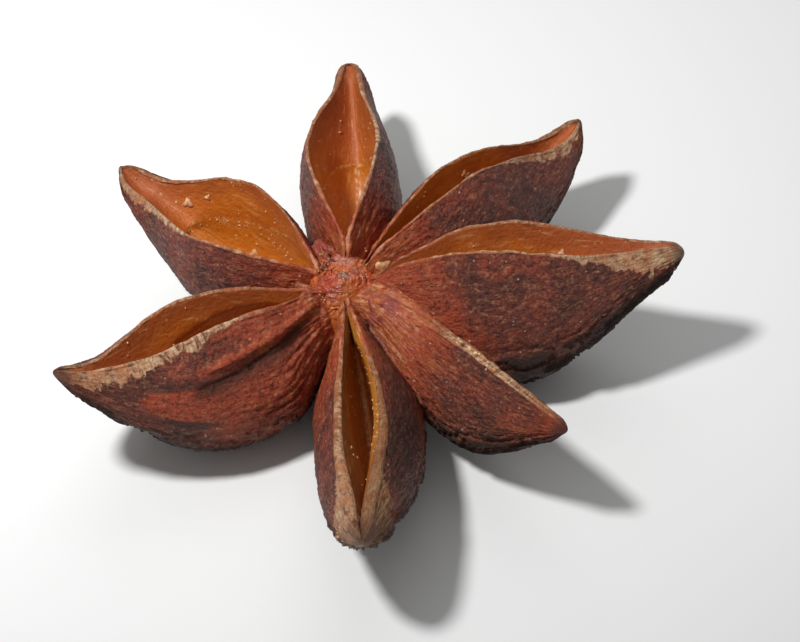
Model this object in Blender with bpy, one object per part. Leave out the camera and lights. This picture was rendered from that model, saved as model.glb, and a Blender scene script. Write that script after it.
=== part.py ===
"""Star anise pod: seven woody carpels standing around a small hub, all one solid.

Each carpel is a boat-shaped pod on its keel. Its top edge is a slit that has opened by its own
amount, and under the slit lie two flat faces that meet in a fold, with a seed's hollow in them.
"""

import math
from dataclasses import dataclass

import bmesh
import bpy

MM = 0.001

# Where the hub's axis stands, which puts the origin under the middle of the whole pod.
AXIS_X = -1.56
AXIS_Y = -0.28

# The hub that joins the carpels, a flat-topped ball on the axis (all lengths in millimetres).
HUB_RADIUS = 2.3
HUB_HALF_HEIGHT = 2.6
HUB_CENTRE_HEIGHT = 4.6
HUB_FLATNESS = 0.5  # power of its height, 1 for a true ellipsoid
HUB_TOP_SHIFT = (-0.4, 0.75)  # how far its top stands off the axis
HUB_SEGMENTS = 18
HUB_RINGS = 9

# What all the carpels share.
ROOT_RADIUS = 1.0  # where a carpel starts, inside the hub
ROLL_HEIGHT = 4.0  # the height of the line that a carpel leans about
ROOT_SHARE = 0.10  # share of the length over which the rim rises out of the hub
CLOSED_SLIT = 0.06  # half width of the seam where a slit is shut
CLOSED_DEPTH = 0.2  # depth of that seam
FOLD_SHARE = 0.62  # how far down the carpel's height the two flat faces meet
FLOOR = 2.0  # material between the keel and the hollow
WALL = 0.55  # material between the hollow and the side
SEED_CENTRE = 0.38  # middle of the seed's hollow, as a share of the length
SEED_HALF_LENGTH = 4.6
SEED_HALF_HEIGHT = 2.7
SEED_SPREAD = 0.45  # how much a wide slit spreads the hollow, for each millimetre
SIDE_FULLEST = 0.375  # share of the height at which the side bulges most
SIDE_RISE = 0.6  # power of the side's curve out from the keel
ROOT_FULLNESS = 0.3  # how full the sides are at the hub, as a share of their fullest
TAPER = 3.0  # powers of the sides' taper towards the beak
TAPER_ROUNDING = 0.8
BEAK_GAP_START = 0.45  # shares of the length at which the slit's narrow end starts,
BEAK_GAP_FULL = 0.82  # is at its full width
BEAK_GAP_END = 0.985  # and closes
BEAK_GROOVE = 0.7  # how deep that end is for its half width
SLIT_BLEND = 3.0  # power that blends it into the slit
FOLD_PEAK = 0.45  # share of the slit's length at which the fold is deepest
FOLD_RISE = 0.6
HOLLOW_EDGE = 5.0  # power that blends the hollow into the faces, crisper when higher
SHARP_EDGE = math.radians(40.0)  # bends sharper than this are shaded as edges
TABLE_HALF_SIDE = 25.0  # the cutter that trims the keels
TABLE_DEPTH = 5.0

STATIONS = 19
BEAK_TURNS = (math.radians(38.0), math.radians(68.0))  # the rings that round the beak's end
SIDE_LEVELS = (1.0, 0.82, 0.62, 0.42, 0.24, 0.09)  # shares of the side's height, rim to keel
FACE_LEVELS = (1.0, 0.8, 0.6, 0.4, 0.22, 0.08)  # shares of the inner face's height, rim to fold


@dataclass(frozen=True)
class Carpel:
    """One carpel's driving dimensions, in millimetres and degrees.

    rim and keel are the heights of the control points of two smooth curves, evenly spaced from
    the hub to the beak. The keel's curve ends beak_depth below the rim's. A positive lean tips
    the rim over to the right of the way the carpel points, and sweep bends its beak to the left.
    The slit's ends are shares of the length, and gap_beak is its half width near the beak. The
    inner faces run from the fold to the rim by the power face_curve, 1 when flat.
    """

    name: str
    azimuth: float
    length: float
    rim: tuple
    keel: tuple
    gap_left: float
    gap_right: float
    gap_peak: float
    half_width: float
    lean: float = 0.0
    sweep: float = 0.0
    lip_hub: float = 0.2
    lip_beak: float = 0.2
    gap_beak: float = 0.35
    slit_start: float = 0.07
    slit_end: float = 0.93
    shoulder: float = 0.33
    blunt: float = 0.38
    beak_depth: float = 1.0
    beak_round: float = 0.9
    root_dive: float = 0.5
    face_curve: float = 0.7
    seed_width: float = 1.6
    hollow: bool = True


CARPELS = (
    Carpel("south_east", 317.0, 16.0, (7.0, 7.6, 7.9, 7.6, 7.7, 8.0), (3.6, 6.0, 1.5, -3.2, 5.6),
           CLOSED_SLIT, CLOSED_SLIT, 0.50, 1.7, lean=-7.0, sweep=-1.0, lip_hub=0.8, gap_beak=0.0,
           shoulder=0.42, blunt=0.3, beak_depth=0.8, root_dive=0.3, hollow=False),
    Carpel("east", -1.0, 18.4, (7.0, 7.5, 12.8, 7.4, 9.0, 9.0), (1.8, 0.4, -1.2, -3.2, 7.8),
           1.45, 1.55, 0.55, 2.8, lean=-13.0, gap_beak=0.3, slit_start=0.04, beak_depth=1.2),
    Carpel("north_east", 44.0, 19.1, (7.4, 7.7, 10.4, 10.8, 4.0, 7.0), (1.6, -0.2, -0.8, -0.7, 2.7),
           0.85, 0.8, 0.50, 2.8, lean=-4.5, gap_beak=0.5, slit_start=0.03, face_curve=0.5),
    Carpel("north", 87.0, 18.9, (7.2, 9.2, 9.6, 7.4, 7.4, 6.8), (1.6, -0.1, -0.8, -0.8, 2.9),
           2.35, 1.55, 0.48, 2.0, lean=-5.0, sweep=1.1, gap_beak=0.5, blunt=0.3, beak_round=1.3,
           face_curve=0.5),
    Carpel("north_west", 146.5, 16.0, (6.6, 6.9, 9.3, 8.9, 4.7, 7.7), (1.5, -0.4, -0.6, 0.5, 4.2),
           2.35, 2.35, 0.50, 2.3, lean=-4.5, gap_beak=0.7, face_curve=0.5),
    Carpel("south_west", 210.0, 17.2, (6.9, 6.6, 9.8, 9.1, 5.9, 8.9), (2.4, 0.9, -1.0, -2.9, 4.9),
           1.5, 1.5, 0.54, 3.8, lean=8.0, gap_beak=0.25),
    Carpel("south", 278.0, 18.3, (6.6, 6.6, 6.8, 7.4, 8.8, 8.8), (1.5, -0.2, -1.0, -1.3, 5.6),
           1.1, 0.85, 0.55, 2.5, lean=8.5, sweep=-1.0, lip_hub=0.25, lip_beak=0.7, gap_beak=0.1,
           slit_start=0.02, slit_end=0.97, blunt=0.6, beak_depth=1.8, beak_round=1.2,
           root_dive=0.1, face_curve=1.6, seed_width=0.7),
)


def bezier(heights: tuple, share: float) -> float:
    """The height at a share of the length on the smooth curve with these control heights."""
    degree = len(heights) - 1
    return sum(
        math.comb(degree, i) * height * share**i * (1.0 - share) ** (degree - i)
        for i, height in enumerate(heights)
    )


def hump(share: float, peak: float, rise: float) -> float:
    """A smooth hump from 0 at share 0, through 1 at peak, to 0 at share 1."""
    if not 0.0 < share < 1.0:
        return 0.0
    fall = rise * (1.0 - peak) / peak
    return (share / peak) ** rise * ((1.0 - share) / (1.0 - peak)) ** fall


def smooth(ramp: float) -> float:
    """A ramp from 0 to 1 with its ends eased."""
    held = min(max(ramp, 0.0), 1.0)
    return held * held * (3.0 - 2.0 * held)


def opening(carpel: Carpel, share: float) -> float:
    """How far the slit stands open at a share of the length, from 0 to 1 at its widest."""
    if share < carpel.gap_peak:
        rise = max(0.0, (share - carpel.slit_start) / (carpel.gap_peak - carpel.slit_start))
        return math.sin(0.5 * math.pi * rise)
    fall = max(0.0, (carpel.slit_end - share) / (carpel.slit_end - carpel.gap_peak))
    return 0.5 * (math.sin(0.5 * math.pi * fall) + smooth(fall))


def slit_half_width(carpel: Carpel, size: float, share: float) -> float:
    """The slit's half width on the side where it opens by size, with its narrow end at the beak."""
    fill = smooth((share - BEAK_GAP_START) / (BEAK_GAP_FULL - BEAK_GAP_START))
    ending = min(max((share - BEAK_GAP_FULL) / (BEAK_GAP_END - BEAK_GAP_FULL), 0.0), 1.0)
    narrow = carpel.gap_beak * fill * math.sqrt(1.0 - ending**2)
    wide = size * opening(carpel, share)
    blended = (wide**SLIT_BLEND + narrow**SLIT_BLEND) ** (1.0 / SLIT_BLEND)
    return max(CLOSED_SLIT, blended)


def fullness(carpel: Carpel, share: float) -> float:
    """How far the side bulges at a share of the length, narrow at the hub and at the beak."""
    taper = (1.0 - share**TAPER) ** TAPER_ROUNDING
    swell = smooth(share / carpel.shoulder)
    return taper * (ROOT_FULLNESS + (1.0 - ROOT_FULLNESS) * swell)


def section(carpel: Carpel, share: float) -> list:
    """The carpel's cross-section as a closed loop of (across, height) points.

    It runs from the left rim down the side to the keel, up the right side, over the lip, down
    the right inner face to the fold and up the left one.
    """
    rim = bezier(carpel.rim, share) - carpel.root_dive * (1.0 - smooth(share / ROOT_SHARE))
    keel = bezier((*carpel.keel, carpel.rim[-1] - carpel.beak_depth), share)
    height = rim - keel
    gap_left = slit_half_width(carpel, carpel.gap_left, share)
    gap_right = slit_half_width(carpel, carpel.gap_right, share)
    lip = carpel.lip_hub + (carpel.lip_beak - carpel.lip_hub) * share
    bulge = math.hypot(carpel.half_width * fullness(carpel, share), carpel.blunt)

    def side(level: float, gap: float) -> float:
        return level * (gap + lip) + bulge * hump(level, SIDE_FULLEST, SIDE_RISE)

    along_slit = (share - carpel.slit_start) / (carpel.slit_end - carpel.slit_start)
    depth = CLOSED_DEPTH
    reach = 0.0
    if carpel.hollow:
        valley = FOLD_SHARE * height * hump(along_slit, FOLD_PEAK, FOLD_RISE)
        depth = max(CLOSED_DEPTH, valley, BEAK_GROOVE * max(gap_left, gap_right))
        along = (share - SEED_CENTRE) * (carpel.length - ROOT_RADIUS) / SEED_HALF_LENGTH
        reach = math.sqrt(max(0.0, 1.0 - along * along))
    fold = rim - depth

    seed_floor = bezier(carpel.keel + (carpel.rim[-1],), SEED_CENTRE) + FLOOR
    seed_height = seed_floor + SEED_HALF_HEIGHT
    seed_spread = max(1.0, SEED_SPREAD * max(carpel.gap_left, carpel.gap_right))
    if reach > 0.0:
        fold = min(fold, max(seed_height - SEED_HALF_HEIGHT * reach, keel + FLOOR))

    def face(level: float, gap: float) -> tuple:
        at = fold + (rim - fold) * level
        flat = gap * max(0.0, 1.0 - (rim - at) / depth) ** carpel.face_curve
        up = (at - seed_height) / SEED_HALF_HEIGHT
        hollow = carpel.seed_width * seed_spread * math.sqrt(max(0.0, reach * reach - up * up))
        limit = side(min(1.0, (at - keel) / height), gap) - WALL
        blended = (flat**HOLLOW_EDGE + hollow**HOLLOW_EDGE) ** (1.0 / HOLLOW_EDGE)
        across = min(blended, max(limit, flat))
        return (max(CLOSED_SLIT * level, across), at)

    points = [(side(level, gap_left), keel + height * level) for level in SIDE_LEVELS]
    points.append((0.0, keel))
    points += [(-side(level, gap_right), keel + height * level) for level in reversed(SIDE_LEVELS)]
    points += [(-face(level, gap_right)[0], face(level, gap_right)[1]) for level in FACE_LEVELS]
    points.append((0.0, fold))
    points += [face(level, gap_left) for level in reversed(FACE_LEVELS)]
    return points


def drawn_in(loop: list, scale: float) -> list:
    """The loop of (across, height) points scaled about its own middle."""
    wide = [across for across, _ in loop]
    tall = [height for _, height in loop]
    middle = (0.5 * (min(wide) + max(wide)), 0.5 * (min(tall) + max(tall)))
    return [
        (middle[0] + (across - middle[0]) * scale, middle[1] + (height - middle[1]) * scale)
        for across, height in loop
    ]


def add_object(name: str, mesh: bpy.types.Mesh) -> bpy.types.Object:
    """An object for the mesh, linked to the scene."""
    built = bpy.data.objects.new(name, mesh)
    bpy.context.scene.collection.objects.link(built)
    return built


def finished_mesh(name: str, source: bmesh.types.BMesh) -> bpy.types.Mesh:
    """The mesh made from the source, shaded smooth over its gentle bends, with the source freed."""
    mesh = bpy.data.meshes.new(name)
    source.to_mesh(mesh)
    source.free()
    mesh.shade_smooth()
    mesh.set_sharp_from_angle(angle=SHARP_EDGE)
    return mesh


def hide_operand(operand: bpy.types.Object) -> None:
    """Marks a shape that only a Boolean uses."""
    operand.hide_render = True
    operand.display_type = "WIRE"


def carpel_mesh(carpel: Carpel) -> bpy.types.Mesh:
    """The carpel's closed surface along +X: bands between its sections, and a cap at each end."""
    shell = bmesh.new()
    rounding = 1.0 - carpel.beak_round / (carpel.length - ROOT_RADIUS)
    stations = [(rounding * station / STATIONS, 1.0) for station in range(STATIONS + 1)]
    stations += [(rounding + (1.0 - rounding) * math.sin(turn), math.cos(turn)) for turn in BEAK_TURNS]
    rings = []
    for share, scale in stations:
        along = ROOT_RADIUS + (carpel.length - ROOT_RADIUS) * share
        sideways = carpel.sweep * (along / carpel.length) ** 2
        rings.append([
            shell.verts.new((along * MM, (across + sideways) * MM, (height - ROLL_HEIGHT) * MM))
            for across, height in drawn_in(section(carpel, share), scale)
        ])
    count = len(rings[0])
    for inner, outer in zip(rings, rings[1:]):
        for i in range(count):
            j = (i + 1) % count
            shell.faces.new((inner[i], inner[j], outer[j], outer[i]))
    levels = len(SIDE_LEVELS)
    for ring in (rings[0], rings[-1]):
        for i in range(2 * levels):
            near, far = (count - 1 - i) % count, (count - 2 - i) % count
            shell.faces.new((ring[i], ring[i + 1], ring[far], ring[near]))
    bmesh.ops.recalc_face_normals(shell, faces=shell.faces)
    return finished_mesh(f"carpel_{carpel.name}", shell)


def add_carpel(carpel: Carpel) -> bpy.types.Object:
    """The carpel turned to its place around the hub and leant over by its own angle."""
    built = add_object(f"carpel_{carpel.name}", carpel_mesh(carpel))
    built.location = (AXIS_X * MM, AXIS_Y * MM, ROLL_HEIGHT * MM)
    built.rotation_euler = (math.radians(carpel.lean), 0.0, math.radians(carpel.azimuth))
    hide_operand(built)
    return built


def add_table() -> bpy.types.Object:
    """The cutter that trims the lowest keels flat, a slab with its top at height 0."""
    side, depth = 2.0 * TABLE_HALF_SIDE * MM, TABLE_DEPTH * MM
    slab = bmesh.new()
    bmesh.ops.create_cube(slab, size=1.0)
    bmesh.ops.scale(slab, vec=(side, side, depth), verts=slab.verts)
    bmesh.ops.translate(slab, vec=(0.0, 0.0, -0.5 * depth), verts=slab.verts)
    built = add_object("table", finished_mesh("table", slab))
    hide_operand(built)
    return built


def add_hub() -> bpy.types.Object:
    """The hub, which the other shapes are joined to, so it carries the part's name."""
    ball = bmesh.new()
    bmesh.ops.create_uvsphere(ball, u_segments=HUB_SEGMENTS, v_segments=HUB_RINGS, radius=1.0)
    for corner in ball.verts:
        x, y, z = corner.co
        up = math.copysign(abs(z) ** HUB_FLATNESS, z)
        shift = smooth(up)
        corner.co.x = (AXIS_X + HUB_RADIUS * x + HUB_TOP_SHIFT[0] * shift) * MM
        corner.co.y = (AXIS_Y + HUB_RADIUS * y + HUB_TOP_SHIFT[1] * shift) * MM
        corner.co.z = (HUB_CENTRE_HEIGHT + HUB_HALF_HEIGHT * up) * MM
    return add_object("pod", finished_mesh("pod", ball))


def woody_material() -> bpy.types.Material:
    """The dry red-brown husk."""
    material = bpy.data.materials.new("husk")
    material.use_nodes = True
    surface = material.node_tree.nodes["Principled BSDF"]
    surface.inputs["Base Color"].default_value = (0.13, 0.03, 0.012, 1.0)
    surface.inputs["Roughness"].default_value = 0.6
    surface.inputs["Metallic"].default_value = 0.0
    return material


def combine(body: bpy.types.Object, operand: bpy.types.Object, operation: str) -> None:
    """Adds a Boolean of the operand to the body."""
    boolean = body.modifiers.new(operand.name, "BOOLEAN")
    boolean.operation = operation
    boolean.solver = "EXACT"
    boolean.object = operand


def main() -> None:
    """Builds the pod: the hub, the seven carpels joined to it and the keels trimmed level."""
    for leftover in list(bpy.data.objects):
        bpy.data.objects.remove(leftover)
    pod = add_hub()
    for carpel in CARPELS:
        combine(pod, add_carpel(carpel), "UNION")
    combine(pod, add_table(), "DIFFERENCE")
    pod.data.materials.append(woody_material())


main()
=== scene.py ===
"""Star anise pod: the looks of its seven carpels, of the hub they grow from and of what clings to it.

Lengths are in millimetres until a mesh is written. A carpel is worked out along its own X axis,
keel down, and then leant and turned to its place around the hub's axis.
"""

import logging
import math
from dataclasses import dataclass
from enum import Enum

import bmesh
import bpy
import numpy as np
from mathutils import Matrix, Vector


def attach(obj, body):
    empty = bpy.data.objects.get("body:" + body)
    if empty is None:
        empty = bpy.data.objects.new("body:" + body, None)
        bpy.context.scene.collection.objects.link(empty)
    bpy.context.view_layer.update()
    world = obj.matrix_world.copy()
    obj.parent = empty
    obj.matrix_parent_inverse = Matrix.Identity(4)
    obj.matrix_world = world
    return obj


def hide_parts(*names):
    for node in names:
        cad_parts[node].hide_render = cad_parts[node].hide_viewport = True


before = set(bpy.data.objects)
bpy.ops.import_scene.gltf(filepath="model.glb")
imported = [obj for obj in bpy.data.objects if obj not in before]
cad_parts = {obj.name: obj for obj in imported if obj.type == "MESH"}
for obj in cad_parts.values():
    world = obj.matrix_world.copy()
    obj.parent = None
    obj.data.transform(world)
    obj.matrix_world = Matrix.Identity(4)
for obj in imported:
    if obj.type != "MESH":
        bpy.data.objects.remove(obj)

LOG = logging.getLogger("star_anise")

MM = 0.001
NODE = "pod"
BODY = "root"
BAKE_UV = "OFBake"

# Where the hub's axis stands from the middle of the pod, and the line that carpels lean about.
AXIS_OFFSET = (-1.56, -0.28)
ROLL_HEIGHT = 4.0
ROOT_RADIUS = 1.0

# A step in millimetres that keeps points apart where a line folds to nothing.
TIE_BREAK = 1e-9

FLOAT = "NodeSocketFloat"
VECTOR = "NodeSocketVector"
GEOMETRY = "NodeSocketGeometry"
MATERIAL = "NodeSocketMaterial"


class Side(Enum):
    """A carpel's sides, as seen from the hub looking out along it."""

    LEFT = 1.0
    RIGHT = -1.0


def linear(red: float, green: float, blue: float) -> tuple:
    """Turns a display colour into the linear colour that a shader takes.

    Args:
        red: Red from 0 to 255.
        green: Green from 0 to 255.
        blue: Blue from 0 to 255.

    Returns:
        The linear red, green and blue from 0 to 1, and an alpha of 1.
    """
    parts = (value / 255.0 for value in (red, green, blue))
    curve = (((p + 0.055) / 1.055) ** 2.4 if p > 0.04045 else p / 12.92 for p in parts)
    return (*curve, 1.0)


def smooth(ramp: np.ndarray) -> np.ndarray:
    """Eases the ends of a ramp that runs from 0 to 1."""
    held = np.clip(ramp, 0.0, 1.0)
    return held * held * (3.0 - 2.0 * held)


def bezier(heights: tuple, share: np.ndarray) -> np.ndarray:
    """Reads the smooth curve of evenly spaced control heights.

    Args:
        heights: The control heights, first to last.
        share: Where to read it, from 0 at the first height to 1 at the last.

    Returns:
        The heights there.
    """
    degree = len(heights) - 1
    return sum(math.comb(degree, i) * height * share**i * (1.0 - share) ** (degree - i)
               for i, height in enumerate(heights))


def hump(share: np.ndarray, peak: float, rise: float) -> np.ndarray:
    """Makes a smooth hump from 0 at share 0, through 1 at the peak, to 0 at share 1.

    Args:
        share: Where to read it.
        peak: The share at which it is 1.
        rise: The power of its rise, so less than 1 gives steep ends.

    Returns:
        The hump's height there.
    """
    held = np.clip(share, 0.0, 1.0)
    fall = rise * (1.0 - peak) / peak
    return (held / peak) ** rise * ((1.0 - held) / (1.0 - peak)) ** fall


def wander(share: np.ndarray, seed: int, waves: int = 6) -> np.ndarray:
    """Makes an uneven wave of about -1 to 1.

    Args:
        share: Where to read it.
        seed: Picks one wave among many.
        waves: How many sines it is the sum of.

    Returns:
        The wave's height there.
    """
    random = np.random.default_rng(seed)
    total = np.zeros_like(share)
    for wave in range(1, waves + 1):
        turns = wave * random.uniform(0.8, 1.4)
        total = total + np.sin(2.0 * math.pi * (turns * share + random.random())) / wave
    return 0.6 * total


def lengths(lines: np.ndarray, least: float = 0.0) -> np.ndarray:
    """Measures how far each point is along its line, in the plane of the first two coordinates.

    Args:
        lines: The polylines, as an array of lines, points and coordinates.
        least: What is added to every step, so that no two points are at the same place.

    Returns:
        The lengths, from 0 at each line's first point.
    """
    steps = np.hypot(np.diff(lines[..., 0], axis=1), np.diff(lines[..., 1], axis=1)) + least
    return np.concatenate((np.zeros((len(lines), 1)), np.cumsum(steps, axis=1)), axis=1)


def evenly(lines: np.ndarray, count: int) -> np.ndarray:
    """Spaces points evenly along polylines.

    Args:
        lines: The polylines, as an array of lines, points and coordinates.
        count: How many points each gets.

    Returns:
        The same array with count points in each line, the ends kept.
    """
    spaced = np.empty((lines.shape[0], count, lines.shape[2]))
    for row, (line, run) in enumerate(zip(lines, lengths(lines, TIE_BREAK))):
        places = np.linspace(0.0, run[-1], count)
        for column in range(lines.shape[2]):
            spaced[row, :, column] = np.interp(places, run, line[:, column])
    return spaced


def tube(name: str, corners: np.ndarray, count: int, loop: int) -> bpy.types.Mesh:
    """Makes a closed mesh from rings of points, drawn together at a pole at each end.

    Args:
        name: The mesh's name.
        corners: The points in metres, ring after ring, and then the two poles.
        count: How many rings there are.
        loop: How many points each ring has.

    Returns:
        The mesh.
    """
    index = np.arange(count * loop).reshape(count, loop)
    following = np.roll(index, -1, axis=1)
    quads = np.stack((index[:-1], index[1:], following[1:], following[:-1]), axis=-1)
    first = np.stack((index[0], following[0], np.full(loop, index.size)), axis=-1)
    last = np.stack((following[-1], index[-1], np.full(loop, index.size + 1)), axis=-1)
    faces = quads.reshape(-1, 4).tolist() + first.tolist() + last.tolist()
    mesh = bpy.data.meshes.new(name)
    mesh.from_pydata(corners.tolist(), [], faces)
    return mesh


def new_piece(name: str, mesh: bpy.types.Mesh) -> bpy.types.Object:
    """Puts a mesh into the scene as a piece at the origin.

    Args:
        name: The piece's name.
        mesh: Its mesh.

    Returns:
        The piece.
    """
    piece = bpy.data.objects.new(name, mesh)
    bpy.context.scene.collection.objects.link(piece)
    return piece


@dataclass(frozen=True)
class Noise:
    """A noise pattern of about 0.3 to 0.7 around 0.5.

    scale is its lumps for each unit, seed picks one pattern among many, detail is how many finer
    octaves it adds, rough is how strong each of them is, and bend is how far it warps itself.
    """

    scale: float
    seed: float = 0.0
    detail: float = 3.0
    rough: float = 0.55
    bend: float = 0.0


class Value:
    """What a node puts out, with the arithmetic of plain numbers."""

    def __init__(self, graph: "Graph", socket: bpy.types.NodeSocket) -> None:
        """Keeps the socket and the graph that it is in."""
        self.graph = graph
        self.socket = socket

    def __add__(self, other: object) -> "Value":
        """Adds another value or a number."""
        return self.graph.math("ADD", self, other)

    def __sub__(self, other: object) -> "Value":
        """Takes another value or a number away."""
        return self.graph.math("SUBTRACT", self, other)

    def __rsub__(self, other: float) -> "Value":
        """Takes the value away from a number."""
        return self.graph.math("SUBTRACT", other, self)

    def __mul__(self, other: object) -> "Value":
        """Multiplies by another value or a number."""
        return self.graph.math("MULTIPLY", self, other)

    def __abs__(self) -> "Value":
        """Drops the sign."""
        return self.graph.math("ABSOLUTE", self)

    def most(self, other: object) -> "Value":
        """Picks the greater of the value and another."""
        return self.graph.math("MAXIMUM", self, other)

    def beside(self, output: int | str) -> "Value":
        """Picks another output of the same node."""
        return Value(self.graph, self.socket.node.outputs[output])

    def parts(self) -> tuple:
        """Splits a vector into its three numbers."""
        first = self.graph.add("ShaderNodeSeparateXYZ", {0: self})
        return first, first.beside(1), first.beside(2)

    def ramp(self, low: object, high: object, end: object = 1.0, start: float = 0.0) -> "Value":
        """Eases from one number to another while the value goes through a range.

        Args:
            low: The value at which the ramp starts, which may be the greater.
            high: The value at which it ends.
            end: What it gives there.
            start: What it gives at low.

        Returns:
            The eased value.
        """
        inputs = {"Value": self, "From Min": low, "From Max": high, "To Min": start, "To Max": end}
        return self.graph.add("ShaderNodeMapRange", inputs, "Result",
                              interpolation_type="SMOOTHSTEP")

    def spread(self, start: float, end: float) -> "Value":
        """Spreads a value from 0 to 1 over the range from start to end."""
        inputs = {"Value": self, "To Min": start, "To Max": end}
        return self.graph.add("ShaderNodeMapRange", inputs, "Result")

    def noise(self, pattern: Noise, seed: object = 0.0) -> "Value":
        """Reads a noise at a vector.

        Args:
            pattern: The noise.
            seed: What is added to the pattern's own seed.

        Returns:
            The noise's value.
        """
        inputs = {"Vector": self, "W": seed + pattern.seed, "Scale": pattern.scale,
                  "Detail": pattern.detail, "Roughness": pattern.rough,
                  "Distortion": pattern.bend}
        return self.graph.add("ShaderNodeTexNoise", inputs, noise_dimensions="4D")


class Graph:
    """A node tree under construction, with short ways to add its nodes and join them."""

    def __init__(self, tree: bpy.types.NodeTree) -> None:
        """Keeps the tree that the nodes go into."""
        self.tree = tree

    def feed(self, socket: bpy.types.NodeSocket, value: object) -> None:
        """Gives an input what goes into it.

        Args:
            socket: The input.
            value: A value to link it to, or a plain number, colour or name to set it to.
        """
        if isinstance(value, Value):
            self.tree.links.new(value.socket, socket)
        else:
            socket.default_value = value

    def add(self, kind: str, values: dict | None = None, output: int | str | None = 0,
            **settings: object) -> Value | None:
        """Adds a node.

        Args:
            kind: The node's type.
            values: What goes into its inputs, by name or index.
            output: Which of its outputs is wanted, by name or index, or None for none.
            **settings: The node's own properties.

        Returns:
            That output.
        """
        node = self.tree.nodes.new(kind)
        for name, value in settings.items():
            setattr(node, name, value)
        for key, value in (values or {}).items():
            self.feed(node.inputs[key], value)
        return None if output is None else Value(self, node.outputs[output])

    def math(self, operation: str, *values: object) -> Value:
        """Adds a Math node on the values."""
        return self.add("ShaderNodeMath", dict(enumerate(values)), operation=operation)

    def vector(self, operation: str, values: dict) -> Value:
        """Adds a Vector Math node on the values."""
        return self.add("ShaderNodeVectorMath", values, operation=operation)

    def mix(self, share: object, first: object, second: object) -> Value:
        """Mixes two numbers by a share of the second."""
        return self.add("ShaderNodeMix", {0: share, 2: first, 3: second}, data_type="FLOAT")

    def point(self, x: object, y: object, z: object) -> Value:
        """Joins three numbers into a vector."""
        return self.add("ShaderNodeCombineXYZ", {0: x, 1: y, 2: z})

    def place(self) -> Value:
        """Reads the point on the object, in a material."""
        return self.add("ShaderNodeTexCoord", output="Object")

    def painted(self, name: str, output: str = "Vector") -> Value:
        """Reads an attribute, in a material, as a Vector or as a number, its Fac."""
        return self.add("ShaderNodeAttribute", output=output, attribute_name=name)

    def position(self) -> Value:
        """Reads the points' places, in a geometry tree."""
        return self.add("GeometryNodeInputPosition")

    def named(self, name: str, kind: str = "FLOAT_VECTOR") -> Value:
        """Reads an attribute, in a geometry tree."""
        return self.add("GeometryNodeInputNamedAttribute", {"Name": name}, "Attribute",
                        data_type=kind)

    def move(self, geometry: Value, **values: Value) -> Value:
        """Moves the points of a geometry by an Offset or to a Position."""
        return self.add("GeometryNodeSetPosition", {"Geometry": geometry, **values})

    def push(self, geometry: Value, relief: Value, total: Value) -> Value:
        """Pushes a surface out along its normals.

        Args:
            geometry: The surface.
            relief: The height in millimetres that is kept with it for its material.
            total: How far it is pushed, in millimetres.

        Returns:
            The pushed surface.
        """
        kept = self.add("GeometryNodeStoreNamedAttribute",
                        {"Geometry": geometry, "Name": "relief", "Value": relief},
                        data_type="FLOAT", domain="POINT")
        normal = self.add("GeometryNodeInputNormal")
        return self.move(kept, Offset=self.vector("SCALE", {0: normal, "Scale": total * MM}))

    def give(self, value: Value) -> bpy.types.NodeTree:
        """Gives a value to the group's only output, and returns the finished group."""
        self.add("NodeGroupOutput", {0: value}, None)
        return self.tree

    def give_dressed(self, geometry: Value, material: Value) -> bpy.types.NodeTree:
        """Gives a geometry to the group's only output, made real and with its material.

        Args:
            geometry: The geometry.
            material: What its surface is made of.

        Returns:
            The finished group.
        """
        real = self.add("GeometryNodeRealizeInstances", {"Geometry": geometry})
        inputs = {"Geometry": real, "Material": material}
        return self.give(self.add("GeometryNodeSetMaterial", inputs))


def new_group(name: str, kind: str, inputs: dict, output: tuple) -> tuple:
    """Makes an empty node group with named inputs and one named output.

    Args:
        name: The group's name.
        kind: The tree's type.
        inputs: The inputs' names, each with its socket type.
        output: The output's name and its socket type.

    Returns:
        The graph, and its inputs as values by name.
    """
    tree = bpy.data.node_groups.new(name, kind)
    for label, socket in inputs.items():
        tree.interface.new_socket(name=label, in_out="INPUT", socket_type=socket)
    tree.interface.new_socket(name=output[0], in_out="OUTPUT", socket_type=output[1])
    graph = Graph(tree)
    entry = graph.add("NodeGroupInput")
    return graph, {label: entry.beside(label) for label in inputs}


def new_material(name: str) -> tuple:
    """Makes a material with a Principled BSDF.

    Args:
        name: The material's name.

    Returns:
        The material, its graph and the shader's inputs.
    """
    material = bpy.data.materials.new(name)
    material.use_nodes = True
    shader = material.node_tree.nodes["Principled BSDF"]
    return material, Graph(material.node_tree), shader.inputs


def cover(ground: object, share: Value, colour: object) -> Value:
    """Covers a colour with another, by a share from 0 to 1."""
    return share.graph.add("ShaderNodeMix", {0: share, 6: ground, 7: colour}, 2, data_type="RGBA")


@dataclass(frozen=True)
class Coat:
    """A colour that covers another as some value goes from low to high, by a weight at most."""

    colour: tuple
    low: float
    high: float
    weight: float = 1.0

    def over(self, ground: object, value: Value) -> Value:
        """Covers a colour where a value is high enough."""
        return cover(ground, value.ramp(self.low, self.high, self.weight), self.colour)


@dataclass(frozen=True)
class Fibres:
    """Streaks along a skin: how many for each millimetre along and across, and their seed."""

    along: float
    across: float
    seed: float


@dataclass(frozen=True)
class Specks:
    """Round specks: their cells for each unit, the share of cells that have one, and so on.

    seed picks one pattern among many, and weight is how far a speck covers what is under it.
    """

    scale: float
    share: float
    seed: float
    weight: float


@dataclass(frozen=True)
class Bump:
    """The fine grain of a surface: how strong it is, and how deep, in metres."""

    strength: float
    distance: float

    def feed(self, shader: bpy.types.bpy_prop_collection, height: Value) -> None:
        """Bends a shader's normals by a height."""
        inputs = {"Strength": self.strength, "Distance": self.distance, "Height": height}
        height.graph.feed(shader["Normal"], height.graph.add("ShaderNodeBump", inputs, "Normal"))


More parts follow.
